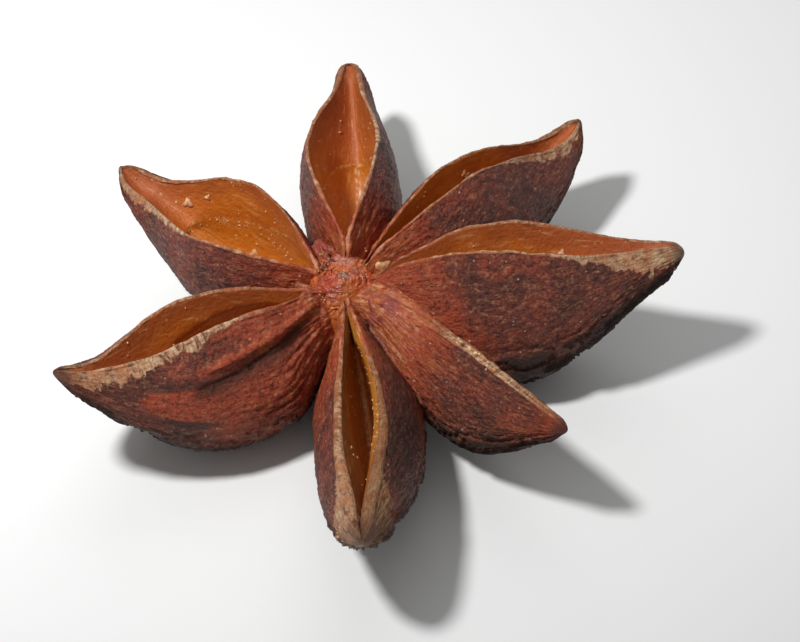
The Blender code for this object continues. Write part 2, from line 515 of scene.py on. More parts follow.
class Effects:
    """The shader groups that several materials share."""

    STREAK = Noise(1.0, 0.0, 4.0, 0.6, 0.35)
    STREAK_DOWN = 0.25
    SPECK_RANGE = (0.34, 0.14)
    DRIP_DOWN = 0.45
    DRIPS = Noise(1.5, 0.0, 2.0, 0.5, 0.6)
    DRIP_WEIGHT = 1.6
    FRAYS = Noise(4.5, 0.0, 3.0, 0.6, 0.8)
    FRAY_WEIGHT = 0.4
    HOLES = Noise(2.6, 5.0, 4.0, 0.65)
    HOLE_LEVEL = 0.46
    HOLE_WEIGHT = 1.5
    TORN_RANGE = (-0.06, 0.10)

    def __init__(self) -> None:
        """Builds each group once."""
        self.fibres = self.build_fibres()
        self.speckles = self.build_speckles()
        self.ragged = self.build_ragged()

    def build_fibres(self) -> bpy.types.NodeTree:
        """Builds streaks that run along the first coordinate.

        Returns:
            The group, which gives a value around 0.5.
        """
        inputs = {"Vector": VECTOR, "Along": FLOAT, "Across": FLOAT, "Seed": FLOAT}
        graph, entry = new_group("fibres", "ShaderNodeTree", inputs, ("Value", FLOAT))
        along, down, around = entry["Vector"].parts()
        place = graph.point(along * entry["Along"], around * entry["Across"],
                            down * self.STREAK_DOWN)
        return graph.give(place.noise(self.STREAK, entry["Seed"]))

    def build_speckles(self) -> bpy.types.NodeTree:
        """Builds scattered round specks.

        Returns:
            The group, which gives their mask.
        """
        inputs = {"Vector": VECTOR, "Scale": FLOAT, "Share": FLOAT, "Seed": FLOAT}
        graph, entry = new_group("speckles", "ShaderNodeTree", inputs, ("Mask", FLOAT))
        cell = {"Vector": entry["Vector"], "W": entry["Seed"], "Scale": entry["Scale"]}
        far = graph.add("ShaderNodeTexVoronoi", cell, "Distance", voronoi_dimensions="4D")
        luck = far.beside("Color").parts()[0]
        chosen = graph.math("LESS_THAN", luck, entry["Share"])
        return graph.give(far.ramp(*self.SPECK_RANGE) * chosen)

    def build_ragged(self) -> bpy.types.NodeTree:
        """Builds a band along an edge, whose far border hangs in uneven drips.

        Returns:
            The group, which gives the band's mask.
        """
        inputs = {"Vector": VECTOR, "Width": FLOAT, "Drip": FLOAT, "Seed": FLOAT}
        graph, entry = new_group("ragged_band", "ShaderNodeTree", inputs, ("Mask", FLOAT))
        width, seed = entry["Width"], entry["Seed"]
        along, down, around = entry["Vector"].parts()
        place = graph.point(along, down * self.DRIP_DOWN, around)
        uneven = (place.noise(self.DRIPS, seed) * self.DRIP_WEIGHT
                  + place.noise(self.FRAYS, seed) * self.FRAY_WEIGHT)
        border = width + (uneven - 1.0) * entry["Drip"] * width
        worn = (place.noise(self.HOLES, seed) - self.HOLE_LEVEL) * width * self.HOLE_WEIGHT
        return graph.give((border - down + worn).ramp(*self.TORN_RANGE))

    @staticmethod
    def use(group: bpy.types.NodeTree, vector: Value, **values: object) -> Value:
        """Places a group in the vector's material and returns its only output."""
        return vector.graph.add("ShaderNodeGroup", {"Vector": vector, **values}, node_tree=group)

    def streaks(self, skin: Value, look: Fibres) -> Value:
        """Draws fibres on a skin."""
        return self.use(self.fibres, skin, Along=look.along, Across=look.across, Seed=look.seed)

    def specks(self, place: Value, look: Specks) -> Value:
        """Draws specks in space, each by its weight at most."""
        mask = self.use(self.speckles, place, Scale=look.scale, Share=look.share, Seed=look.seed)
        return mask * look.weight


@dataclass(frozen=True)
class HuskFinish:
    """The carpels' finish: wrinkled dull skin outside, pale torn rims and a glossy amber lining.

    A range is the low and the high end of an eased ramp and, where they aren't 1 and 0, what it
    gives at its end and at its start.
    """

    plum: tuple = linear(88, 44, 34)
    maroon: tuple = linear(132, 58, 42)
    rust: tuple = linear(164, 66, 34)
    mauve: tuple = linear(110, 57, 47)
    ochre: tuple = linear(176, 98, 44)
    pith: tuple = linear(184, 94, 44)
    blood: tuple = linear(134, 50, 32)
    rose: tuple = linear(208, 146, 112)
    bruise: tuple = linear(150, 66, 66)
    dusty: tuple = linear(182, 124, 88)
    # Dark brown for the pits of the grain, and for the painted shade of the furrows.
    soot_and_shade: tuple = linear(38, 23, 16)
    bark: tuple = linear(82, 53, 36)
    tip: tuple = linear(96, 48, 38)
    root_edge: tuple = linear(192, 104, 52)
    edge: tuple = linear(184, 116, 74)
    sallow: tuple = linear(126, 78, 36)
    tan: tuple = linear(186, 138, 103)
    cream: tuple = linear(226, 192, 153)
    gap: tuple = linear(106, 66, 46)
    amber: tuple = linear(208, 113, 31)
    honey: tuple = linear(238, 158, 62)
    russet: tuple = linear(168, 84, 36)
    ember: tuple = linear(166, 79, 34)
    umber: tuple = linear(92, 42, 20)
    olive: tuple = linear(204, 122, 32)
    glint: tuple = linear(236, 184, 120)

    # The skin, from its ground of patches up to the painted shade of its furrows.
    patch_noise: Noise = Noise(420.0, 1.0, 8.0, 0.76)
    patches: Coat = Coat(maroon, 0.42, 0.58)
    veil_noise: Noise = Noise(260.0, 23.0, 7.0, 0.78)
    veils: Coat = Coat(mauve, 0.48, 0.60, 0.6)
    streaks: Fibres = Fibres(1.1, 26.0, 2.0)
    streak_weight: float = 0.7
    rust_noise: float = 1.3
    red_weight: float = 0.8
    rusting: Coat = Coat(rust, 0.25, 1.05)
    spot_noise: Noise = Noise(900.0, 27.0, 4.0, 0.7)
    spot_rust: float = 0.12
    spots: Coat = Coat(ochre, 0.60, 0.70, 0.7)
    curd_noise: Noise = Noise(1300.0, 16.0, 6.0, 0.7)
    curds: Coat = Coat(pith, 0.38, 0.54)
    strands: Coat = Coat(rose, 0.48, 0.58, 0.8)
    bruise_noise: Noise = Noise(640.0, 43.0, 6.0, 0.72)
    bruises: Coat = Coat(bruise, 0.52, 0.59, 0.75)
    stains: Coat = Coat(umber, 0.45, 0.37, 0.6)
    bare_noise: float = 2.4
    bare_range: tuple = (1.05, 1.8)
    bark_noise: float = 0.6
    barks: Coat = Coat(bark, 0.60, 0.22, 0.65)
    folds: Fibres = Fibres(2.2, 40.0, 7.0)
    grit_noise: Noise = Noise(6200.0, 4.0, 4.0, 0.75)
    dust: Coat = Coat(dusty, 0.51, 0.61, 0.55)
    pit_weight: tuple = (0.7, 1.5, 0.4, 0.8)
    pit_range: tuple = (0.49, 0.39)
    # Pale specks of painted glint on the skin.
    skin_glints: Specks = Specks(4600.0, 0.12, 12.0, 0.6)
    worn: Coat = Coat(dusty, 0.03, 0.12, 0.3)
    # How dark the painted shade of the furrows and of the shade marks is.
    furrow_shade_range: tuple = (-0.07, -0.24, 0.85)
    shade_weight: float = 0.85

    # The rims' crests and their torn bands, and the tips.
    out_along: Coat = Coat(edge, 1.5, 8.0)
    crest_fibres: Fibres = Fibres(2.6, 8.0, 21.0)
    crest_pale: Coat = Coat(cream, 0.52, 0.62, 0.7)
    crest_gaps: Coat = Coat(gap, 0.50, 0.40, 0.5)
    crest_range: tuple = (1.3, 0.6, 0.85)
    torn_drip: float = 1.1
    torn_seed: float = 4.0
    rim_fibres: Fibres = Fibres(1.6, 34.0, 11.0)
    hatch_scale: tuple = (3.5, 1.2)
    hatch_noise: Noise = Noise(1.0, 12.0, 4.0, 0.7, 0.9)
    hatch_range: tuple = (12.0, 15.0)
    mottle_noise: Noise = Noise(1900.0, 12.0, 6.0, 0.72)
    mottle_weight: float = 0.7
    rim_pale: Coat = Coat(cream, 0.46, 0.62)
    bloom_noise: Noise = Noise(0.8, 33.0, 3.0, 0.7)
    blooms: Coat = Coat(edge, 0.50, 0.62, 0.4)
    warmth_noise: Noise = Noise(0.35, 30.0, 3.0, 0.6)
    warmth: Coat = Coat(root_edge, 0.50, 0.62, 0.45)
    rim_gaps: Coat = Coat(gap, 0.49, 0.39, 0.9)
    sallow_range: tuple = (1.4, 1.9)
    dull_sallow_range: tuple = (-0.6, -1.1, 0.15)
    sallow_weight: float = 0.65
    tip_noise: Noise = Noise(1400.0, 14.0, 3.0, 0.6)
    tip_spread: tuple = (0.7, 1.2)

    # The lining, and the seed's hollow in it, with painted glints and painted shadow.
    cloud_noise: Noise = Noise(420.0, 5.0, 6.0, 0.62)
    cloud_weight: float = 1.5
    down_range: tuple = (0.1, 1.8, 0.15, -0.45)
    ambers: Coat = Coat(amber, 0.0, 1.0)
    honeys: Coat = Coat(honey, 1.0, 2.0)
    outer_noise: float = 3.0
    outer_range: tuple = (9.5, 15.0)
    outer_weight: float = 0.8
    # Painted shadow, where the lining's brightness goes below 0.
    umber_shadow: Coat = Coat(umber, -0.3, -1.3)
    frost_noise: Noise = Noise(1700.0, 37.0, 6.0, 0.75)
    frost_range: tuple = (0.46, 0.60, 0.2)
    olive_weight: float = 0.6
    lining_fibres: Fibres = Fibres(0.9, 26.0, 13.0)
    dark_streaks: Coat = Coat(russet, 0.50, 0.32, 0.45)
    light_streaks: Coat = Coat(glint, 0.54, 0.68, 0.35)
    # A dotted painted highlight along the edge of the seed's hollow.
    edge_glint_noise: Noise = Noise(3200.0, 8.0, 2.0)
    edge_glint_range: tuple = (0.44, 0.60, 3.2)
    # A painted highlight along the fold, near the hub.
    fold_glint_range: tuple = (1.955, 1.985, 0.55)
    fold_glint_end: tuple = (8.5, 6.0)
    lining_mottle_noise: Noise = Noise(2600.0, 19.0, 4.0, 0.7)
    lining_mottles: Coat = Coat(russet, 0.48, 0.36, 0.35)
    # Pale specks of painted glint on the lining.
    lining_glints: Specks = Specks(3000.0, 0.12, 9.0, 0.55)

    # The gloss and the grain.
    skin_roughness: float = 0.50
    flesh_roughness: float = 0.34
    lining_roughness: float = 0.36
    seed_roughness: float = 0.20
    flesh_range: tuple = (0.8, 1.6)
    grain_noise: Noise = Noise(4200.0, 4.0, 5.0, 0.72)
    uneven: float = 0.5
    skin_bump: tuple = (0.7, 1.5, 0.5, 1.2)
    lining_bump: float = 0.6
    bump: Bump = Bump(0.9, 0.0002)
    gloss_range: tuple = (15.0, 9.0, 0.45, 0.05)
    coat_roughness: float = 0.28
    specular: float = 0.42

    def skin_colour(self, effects: Effects, place: Value, skin: Value, rust: Value,
                    mark: Value, relief: Value) -> Value:
        """Colours the outside: plum and maroon patches, flesh by the hub, painted shade in furrows.

        Args:
            effects: The shared groups.
            place: The point on the object.
            skin: The point on the carpel's own skin.
            rust: How rusty the skin is, from 0 to 1, and up to 2 for bare pith.
            mark: How red it is, and how much painted shade it has.
            relief: How far the wrinkles stand up there, in millimetres.

        Returns:
            The colour.
        """
        red, shade, _ = mark.parts()
        patch = place.noise(self.patch_noise)
        streak = effects.streaks(skin, self.streaks)
        loose = patch - 0.5 + (streak - 0.5) * self.streak_weight
        spot = place.noise(self.spot_noise) + (rust - 0.5) * self.spot_rust
        colour = self.patches.over(self.plum, patch)
        colour = self.veils.over(colour, place.noise(self.veil_noise))
        colour = self.rusting.over(colour, rust + loose * self.rust_noise + red * self.red_weight)
        colour = self.spots.over(colour, spot)

        curd, bruise = place.noise(self.curd_noise), place.noise(self.bruise_noise)
        flesh = self.curds.over(self.blood, curd)
        flesh = self.strands.over(flesh, (streak + curd) * 0.5)
        flesh = self.stains.over(self.bruises.over(flesh, bruise), bruise)
        colour = cover(colour, (rust + loose * self.bare_noise).ramp(*self.bare_range), flesh)
        off_keel = abs(skin.parts()[2] - 1.0)
        colour = self.barks.over(colour, off_keel - loose * self.bark_noise)

        tooth = (effects.streaks(skin, self.folds) + place.noise(self.grit_noise)) * 0.5
        colour = self.dust.over(colour, tooth)
        pits = tooth.ramp(*self.pit_range, rust.ramp(*self.pit_weight))
        colour = cover(colour, pits, self.soot_and_shade)
        # Painted glints: pale specks on the skin.
        colour = cover(colour, effects.specks(place, self.skin_glints), self.cream)
        colour = self.worn.over(colour, relief)
        # Painted shade: darker where the relief sinks into furrows and where the shade mark is set.
        furrow = relief.ramp(*self.furrow_shade_range).most(shade * self.shade_weight)
        return cover(colour, furrow, self.soot_and_shade)

    def crest_colour(self, effects: Effects, skin: Value) -> Value:
        """Colours the rims' crests: orange at the hub, dull pink further out, with brown breaks.

        Args:
            effects: The shared groups.
            skin: The point on the carpel's own skin.

        Returns:
            The colour.
        """
        broken = effects.streaks(skin, self.crest_fibres)
        colour = self.out_along.over(self.root_edge, skin.parts()[0])
        return self.crest_gaps.over(self.crest_pale.over(colour, broken), broken)

    def rim_colour(self, effects: Effects, place: Value, skin: Value) -> Value:
        """Colours the torn rims: tan with cream and brown hatching.

        Args:
            effects: The shared groups.
            place: The point on the object.
            skin: The point on the carpel's own skin.

        Returns:
            The colour.
        """
        graph = skin.graph
        along, down, _ = skin.parts()
        across = graph.point(along * self.hatch_scale[0], down * self.hatch_scale[1], 0.0)
        mottle, streak = place.noise(self.mottle_noise), effects.streaks(skin, self.rim_fibres)
        blend = mottle * self.mottle_weight + streak * (1.0 - self.mottle_weight)
        hatch = across.noise(self.hatch_noise)
        grain = graph.mix(along.ramp(*self.hatch_range), hatch, blend)
        colour = self.rim_pale.over(self.tan, grain)
        colour = self.blooms.over(colour, across.noise(self.bloom_noise))
        colour = self.warmth.over(colour, across.noise(self.warmth_noise))
        return self.rim_gaps.over(colour, grain)

    def lining_colour(self, effects: Effects, place: Value, skin: Value, amber: Value,
                      seed: Value) -> Value:
        """Colours the inside: amber to russet faces, the seed's olive hollow, and painted glints.

        Args:
            effects: The shared groups.
            place: The point on the object.
            skin: The point on the carpel's own skin.
            amber: How bright the lining is, from 0 to 1, and beyond them for extremes.
            seed: Where the seed's hollow is.

        Returns:
            The colour.
        """
        along, down, around = skin.parts()
        loose = (place.noise(self.cloud_noise) - 0.5) * self.cloud_weight
        # Part of the brightness is painted light and shade: each side's faces are lighter or darker
        # as they turn to or from the lamp.
        bright = amber + loose + down.ramp(*self.down_range)
        outer = (along + loose * self.outer_noise).ramp(*self.outer_range)
        colour = self.honeys.over(self.ambers.over(self.russet, bright), bright)
        colour = cover(colour, outer * self.outer_weight, self.ember)
        # Painted shadow on faces whose brightness is below 0.
        colour = self.umber_shadow.over(colour, bright)
        frost = place.noise(self.frost_noise).ramp(*self.frost_range)
        colour = cover(colour, frost * outer, self.edge)
        colour = cover(colour, seed * self.olive_weight, self.olive)

        streak = effects.streaks(skin, self.lining_fibres)
        colour = self.light_streaks.over(self.dark_streaks.over(colour, streak), streak)
        # Painted highlight: a dotted bright line along the hollow's edge.
        edge_glints = (1.0 - seed) * seed * place.noise(self.edge_glint_noise).ramp(*self.edge_glint_range)
        colour = cover(colour, edge_glints, self.glint)
        # Painted highlight: a bright line along the fold.
        fold_glint = abs(around - 1.0).ramp(*self.fold_glint_range) * along.ramp(*self.fold_glint_end)
        colour = cover(colour, fold_glint, self.glint)
        colour = self.lining_mottles.over(colour, place.noise(self.lining_mottle_noise))
        # Painted glints: pale specks on the lining.
        return cover(colour, effects.specks(place, self.lining_glints), self.glint)

    def build(self, effects: Effects) -> bpy.types.Material:
        """Builds the material.

        Args:
            effects: The shared groups.

        Returns:
            The material, which reads the attributes that the carpels carry.
        """
        material, graph, shader = new_material("husk")
        place, skin = graph.place(), graph.painted("skin")
        inside, seed, lip = graph.painted("zone").parts()
        rust, band, amber = graph.painted("tone").parts()
        mark, relief = graph.painted("mark"), graph.painted("relief", "Fac")

        torn = effects.use(effects.ragged, skin, Width=band, Drip=self.torn_drip,
                           Seed=self.torn_seed)
        crested = lip * rust.ramp(*self.crest_range)
        sallow = amber.ramp(*self.sallow_range).most(amber.ramp(*self.dull_sallow_range))
        sallow = crested.most(torn) * sallow * self.sallow_weight
        tip = mark.parts()[2] * place.noise(self.tip_noise).spread(*self.tip_spread)
        colour = self.skin_colour(effects, place, skin, rust, mark, relief)
        colour = cover(colour, crested, self.crest_colour(effects, skin))
        colour = cover(colour, torn, self.rim_colour(effects, place, skin))
        colour = cover(cover(colour, sallow, self.sallow), tip, self.tip)
        lining = self.lining_colour(effects, place, skin, amber, seed)
        graph.feed(shader["Base Color"], cover(colour, inside, lining))

        grain = place.noise(self.grain_noise)
        skin_dull = rust.ramp(*self.flesh_range, self.flesh_roughness, self.skin_roughness)
        lining_dull = graph.mix(seed, self.lining_roughness, self.seed_roughness)
        dull = graph.mix(inside, skin_dull, lining_dull)
        graph.feed(shader["Roughness"], dull + (grain - 0.5) * self.uneven)
        outer = (effects.streaks(skin, self.folds) + grain) * rust.ramp(*self.skin_bump)
        self.bump.feed(shader, graph.mix(inside, outer, grain * self.lining_bump))
        gloss = inside * skin.parts()[0].ramp(*self.gloss_range)
        graph.feed(shader["Coat Weight"], gloss)
        shader["Coat Roughness"].default_value = self.coat_roughness
        shader["Specular IOR Level"].default_value = self.specular
        return material


@dataclass(frozen=True)
class Stain:
    """A soft-edged patch of colour on the hub, placed in millimetres from its axis."""

    x: float
    y: float
    radius: float
    colour: tuple

    CORE_SHARE = 0.6
    UNEVEN = 3.0
    WEIGHT = 0.85

    def over(self, ground: Value, place: Value, torn: Value) -> Value:
        """Lays the stain over a colour.

        Args:
            ground: The colour.
            place: The point on the object.
            torn: A noise around 0 that makes the stain's border uneven.

        Returns:
            The new colour.
        """
        x, y, _ = place.parts()
        off_x = x - (AXIS_OFFSET[0] + self.x) * MM
        off_y = y - (AXIS_OFFSET[1] + self.y) * MM
        radius = self.radius * MM
        far = place.graph.math("SQRT", off_x * off_x + off_y * off_y)
        far = far + torn * (self.UNEVEN * radius)
        return cover(ground, far.ramp(radius, self.CORE_SHARE * radius, self.WEIGHT), self.colour)


@dataclass(frozen=True)
class HeartFinish:
    """The hub's finish: crumbly pinkish wood, rusty, painted shade in its crevices, glossy grains
    with painted glints.
    """

    rose: tuple = linear(190, 122, 92)
    rust: tuple = linear(138, 54, 30)
    amber: tuple = linear(178, 86, 34)
    # Dark brown for the pits of the grain, and for the painted shade of the crevices.
    soot_and_shade: tuple = linear(40, 20, 14)
    # Pale for the painted glints on the grains.
    pale: tuple = linear(240, 200, 170)
    stains: tuple = (
        Stain(0.2, -1.7, 1.7, linear(180, 92, 32)),
        Stain(-1.1, -0.1, 0.75, linear(164, 58, 32)),
        Stain(0.5, 0.0, 0.6, linear(176, 76, 28)),
        Stain(1.4, 0.9, 0.8, linear(186, 72, 30)),
        # A pink patch: partly the hub's colour, partly a painted highlight.
        Stain(-0.3, 1.5, 0.75, linear(186, 118, 98)),
        Stain(-1.7, 3.4, 1.7, linear(146, 68, 56)),
        # Painted shade: a dark spot where a small hole would lie in shade.
        Stain(-0.22, 0.08, 0.3, linear(98, 66, 58)),
    )
    patch_noise: Noise = Noise(620.0, 2.0, 6.0, 0.65)
    patches: Coat = Coat(amber, 0.44, 0.56)
    torn_noise: Noise = Noise(1500.0, 41.0, 5.0, 0.7)
    blush_noise: Noise = Noise(520.0, 15.0, 6.0, 0.75)
    curd_noise: Noise = Noise(3000.0, 5.0, 4.0, 0.7)
    relief_weight: float = 0.6
    curd_weight: float = 0.8
    blush: Coat = Coat(rose, 0.05, 0.24, 0.75)
    pits: Coat = Coat(soot_and_shade, 0.48, 0.36, 0.65)
    # Painted shade: darker where the relief sinks into crevices.
    crack_shade: Coat = Coat(soot_and_shade, -0.14, -0.40)
    # The specks are painted glints.
    specks: Specks = Specks(3200.0, 0.08, 8.0, 0.6)
    grain_noise: Noise = Noise(3800.0, 6.0, 3.0, 0.65)
    roughness: float = 0.44
    uneven: float = 0.8
    bump: Bump = Bump(0.8, 0.00008)

    def build(self, effects: Effects) -> bpy.types.Material:
        """Builds the material.

        Args:
            effects: The shared groups.

        Returns:
            The material, which reads the hub's relief attribute.
        """
        material, graph, shader = new_material("heart")
        place, relief = graph.place(), graph.painted("relief", "Fac")
        colour = self.patches.over(self.rust, place.noise(self.patch_noise))
        torn = place.noise(self.torn_noise) - 0.5
        for stain in self.stains:
            colour = stain.over(colour, place, torn)
        curd = place.noise(self.curd_noise)
        # Pinker where the lumps stand up: partly a painted highlight on their tops, partly random
        # tone.
        raised = (relief * self.relief_weight + (place.noise(self.blush_noise) - 0.5)
                  + (curd - 0.5) * self.curd_weight)
        colour = self.pits.over(self.blush.over(colour, raised), curd)
        # Painted shade in the crevices.
        colour = self.crack_shade.over(colour, relief)
        # Painted glints: pale specks.
        colour = cover(colour, effects.specks(place, self.specks), self.pale)
        graph.feed(shader["Base Color"], colour)
        grain = place.noise(self.grain_noise)
        graph.feed(shader["Roughness"], (grain - 0.5) * self.uneven + self.roughness)
        self.bump.feed(shader, grain)
        return material


@dataclass(frozen=True)
class CrumbFinish:
    """The finish of the pale crumbs and flakes of dry pith."""

    cream: tuple = linear(226, 184, 138)
    tan: tuple = linear(186, 120, 70)
    brown: tuple = linear(120, 66, 40)
    patch_noise: Noise = Noise(3000.0, 3.0, 4.0, 0.6)
    patches: Coat = Coat(cream, 0.40, 0.60)
    specks: Specks = Specks(5200.0, 0.2, 5.0, 0.5)
    roughness: tuple = (0.35, 0.75)
    bump: Bump = Bump(0.7, 0.00005)

    def build(self, effects: Effects) -> bpy.types.Material:
        """Builds the material.

        Args:
            effects: The shared groups.

        Returns:
            The material.
        """
        material, graph, shader = new_material("crumb")
        place = graph.place()
        patch = place.noise(self.patch_noise)
        colour = self.patches.over(self.tan, patch)
        colour = cover(colour, effects.specks(place, self.specks), self.brown)
        graph.feed(shader["Base Color"], colour)
        graph.feed(shader["Roughness"], patch.spread(*self.roughness))
        self.bump.feed(shader, patch)
        return material


@dataclass(frozen=True)
class FloorFinish:
    """The finish of the plain pale floor."""

    white: tuple = linear(246, 247, 246)
    haze: float = 0.985
    haze_noise: Noise = Noise(60.0, 0.0, 2.0)
    roughness: float = 0.85
    specular: float = 0.1

    def build(self) -> bpy.types.Material:
        """Builds the material.

        Returns:
            The material.
        """
        material, graph, shader = new_material("floor")
        faint = tuple(self.haze * part for part in self.white[:3]) + (1.0,)
        colour = cover(self.white, graph.place().noise(self.haze_noise), faint)
        graph.feed(shader["Base Color"], colour)
        shader["Roughness"].default_value = self.roughness
        shader["Specular IOR Level"].default_value = self.specular
        return material


@dataclass(frozen=True)
class Relief:
    """The wrinkles and furrows of a carpel's skin, in millimetres."""

    undulation: float = 0.16
    wrinkle: float = 0.06
    fan: float = 0.07
    furrow: float = 0.32
    grain: float = 0.03
    bead: float = 0.10
    curd: float = 0.26
    lining: float = 0.03

    WAVES = Noise(330.0, 0.0, 2.0, 0.5)
    CURDS = Noise(1100.0, 4.0, 3.0, 0.6)
    CURD_END = (5.0, 2.5)
    FOLDS = Noise(1.0, 0.0, 5.0, 0.66, 0.25)
    FOLD_SCALE = (1.7, 24.0)
    FOLD_WEIGHT = 4.5
    FOLD_RANGE = (2.5, 5.0, 1.0, 0.4)
    PATCHES = Noise(260.0, 5.0, 2.0)
    PATCH_RANGE = (0.36, 0.62)
    PATCH_LEAST = 0.45
    RAYS = Noise(1.0, 2.0, 3.0, 0.5, 0.3)
    RAY_SCALE = (0.15, 40.0)
    RAY_RANGE = (0.0, 0.09)
    RAY_LEVEL = 0.65
    RAY_START = (1.5, 3.5)
    RAY_END = (12.0, 4.5)
    CRACKS = Noise(1.0, 9.0, 4.0, 0.62, 1.0)
    CRACK_SCALE = (0.45, 15.0)
    CRACK_RANGE = (0.54, 0.42)
    KEEL_RANGE = (0.60, 0.22)
    GRAINS = Noise(2900.0, 0.0, 3.0, 0.6)
    BEADS = Noise(1300.0, 6.0, 3.0, 0.6)
    RIPPLES = Noise(900.0, 3.0, 3.0, 0.55)
    CALM_LENGTH = 1.2

    def build(self) -> bpy.types.NodeTree:
        """Builds the tree that pushes a carpel's points out and in along their normals.

        Returns:
            The tree, with the sizes above, a length, a seed and a material as its named inputs.
        """
        sizes = ("Undulation", "Wrinkle", "Fan", "Furrow", "Grain", "Bead", "Curd", "Lining",
                 "Length", "Seed")
        inputs = {"Geometry": GEOMETRY, **dict.fromkeys(sizes, FLOAT), "Material": MATERIAL}
        graph, entry = new_group("skin_relief", "GeometryNodeTree", inputs, ("Geometry", GEOMETRY))
        place, seed = graph.position(), entry["Seed"]
        along, _, around = graph.named("skin").parts()
        inside, _, lip = graph.named("zone").parts()

        wave = (place.noise(self.WAVES, seed) - 0.5) * entry["Undulation"] * 2.0
        curd = (place.noise(self.CURDS, seed) - 0.5) * entry["Curd"] * along.ramp(*self.CURD_END)
        wave = wave + curd * 2.0

        strong = place.noise(self.PATCHES, seed).ramp(*self.PATCH_RANGE) + self.PATCH_LEAST
        ridge = self.drawn(graph, entry, self.FOLDS, self.FOLD_SCALE)
        ridge = (ridge - 0.5) * self.FOLD_WEIGHT * strong
        ridge = ridge * (entry["Wrinkle"] * along.ramp(*self.FOLD_RANGE))
        ray = abs(self.drawn(graph, entry, self.RAYS, self.RAY_SCALE) - 0.5)
        ray = (ray.ramp(*self.RAY_RANGE) - self.RAY_LEVEL) * entry["Fan"]
        ray = ray * along.ramp(*self.RAY_END) * along.ramp(*self.RAY_START)
        crack = self.drawn(graph, entry, self.CRACKS, self.CRACK_SCALE).ramp(*self.CRACK_RANGE)
        crack = crack * abs(around - 1.0).ramp(*self.KEEL_RANGE) * entry["Furrow"]
        grain = (place.noise(self.GRAINS, seed) - 0.5) * entry["Grain"] * 2.0

        bead = (place.noise(self.BEADS, seed) - 0.5) * entry["Bead"] * 2.0
        ripple = (place.noise(self.RIPPLES, seed) - 0.5) * entry["Lining"] * 3.0
        height = graph.mix(lip, ridge + ray - crack + grain, bead)
        height = graph.mix(inside, height, ripple)
        calm = along.ramp(entry["Length"], entry["Length"] - self.CALM_LENGTH)
        total = (height + wave * (1.0 - inside)) * calm
        moved = graph.push(entry["Geometry"], height, total)
        x, y, z = place.parts()
        rested = graph.move(moved, Position=graph.point(x, y, z.most(0.0)))
        return graph.give_dressed(rested, entry["Material"])

    @staticmethod
    def drawn(graph: Graph, entry: dict, pattern: Noise, scale: tuple) -> Value:
        """Reads a noise that is drawn out along a carpel's skin.

        Args:
            graph: The tree.
            entry: The tree's inputs.
            pattern: The noise.
            scale: Its lumps for each millimetre along and for each half of the way round.

        Returns:
            The noise's value.
        """
        along, _, around = graph.named("skin").parts()
        seed = entry["Seed"]
        return graph.point(along * scale[0], around * scale[1], seed).noise(pattern, seed)


def grow(name: str, mesh: bpy.types.Mesh, tree: bpy.types.NodeTree,
         values: dict) -> bpy.types.Object:
    """Runs a mesh through a geometry tree and keeps the result as a plain mesh.

    Args:
        name: The new piece's name.
        mesh: The mesh that the tree starts from.
        tree: The geometry tree.
        values: What goes into its inputs, by name.

    Returns:
        The piece, without modifiers.
    """
    piece = new_piece(name, mesh)
    modifier = piece.modifiers.new(tree.name, "NODES")
    modifier.node_group = tree
    sockets = {item.name: item.identifier for item in tree.interface.items_tree
               if item.item_type == "SOCKET" and item.in_out == "INPUT"}
    for label, value in values.items():
        modifier[sockets[label]] = value
    depsgraph = bpy.context.evaluated_depsgraph_get()
    result = bpy.data.meshes.new_from_object(
        piece.evaluated_get(depsgraph), preserve_all_data_layers=True, depsgraph=depsgraph)
    piece.modifiers.remove(modifier)
    piece.data = result
    result.name = name
    result.shade_smooth()
    return piece


def report(piece: bpy.types.Object) -> None:
    """Declares a finished piece to the frame and logs its size.

    Args:
        piece: The piece.
    """
    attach(piece, BODY)
    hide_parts(NODE)
    triangles = sum(len(face.vertices) - 2 for face in piece.data.polygons)
    LOG.info("%s: %d triangles", piece.name, triangles)


@dataclass(frozen=True)
class Crease:
    """A fold that runs along one side of a carpel, raised where its height is above 0.

    start and end are (share of the length, share of the side's height) at its two ends.
    """

    side: Side
    start: tuple
    end: tuple
    height: float
    width: float


@dataclass(frozen=True)
class Patch:
    """A soft-edged patch of colour on one side of a carpel.

    along is how far its middle is from the hub's axis, and down is the share of the way from
    the rim to the keel. Its half length and half height are in millimetres.
    """

    side: Side
    along: float
    down: float
    half_length: float
    half_height: float
    strength: float = 1.0


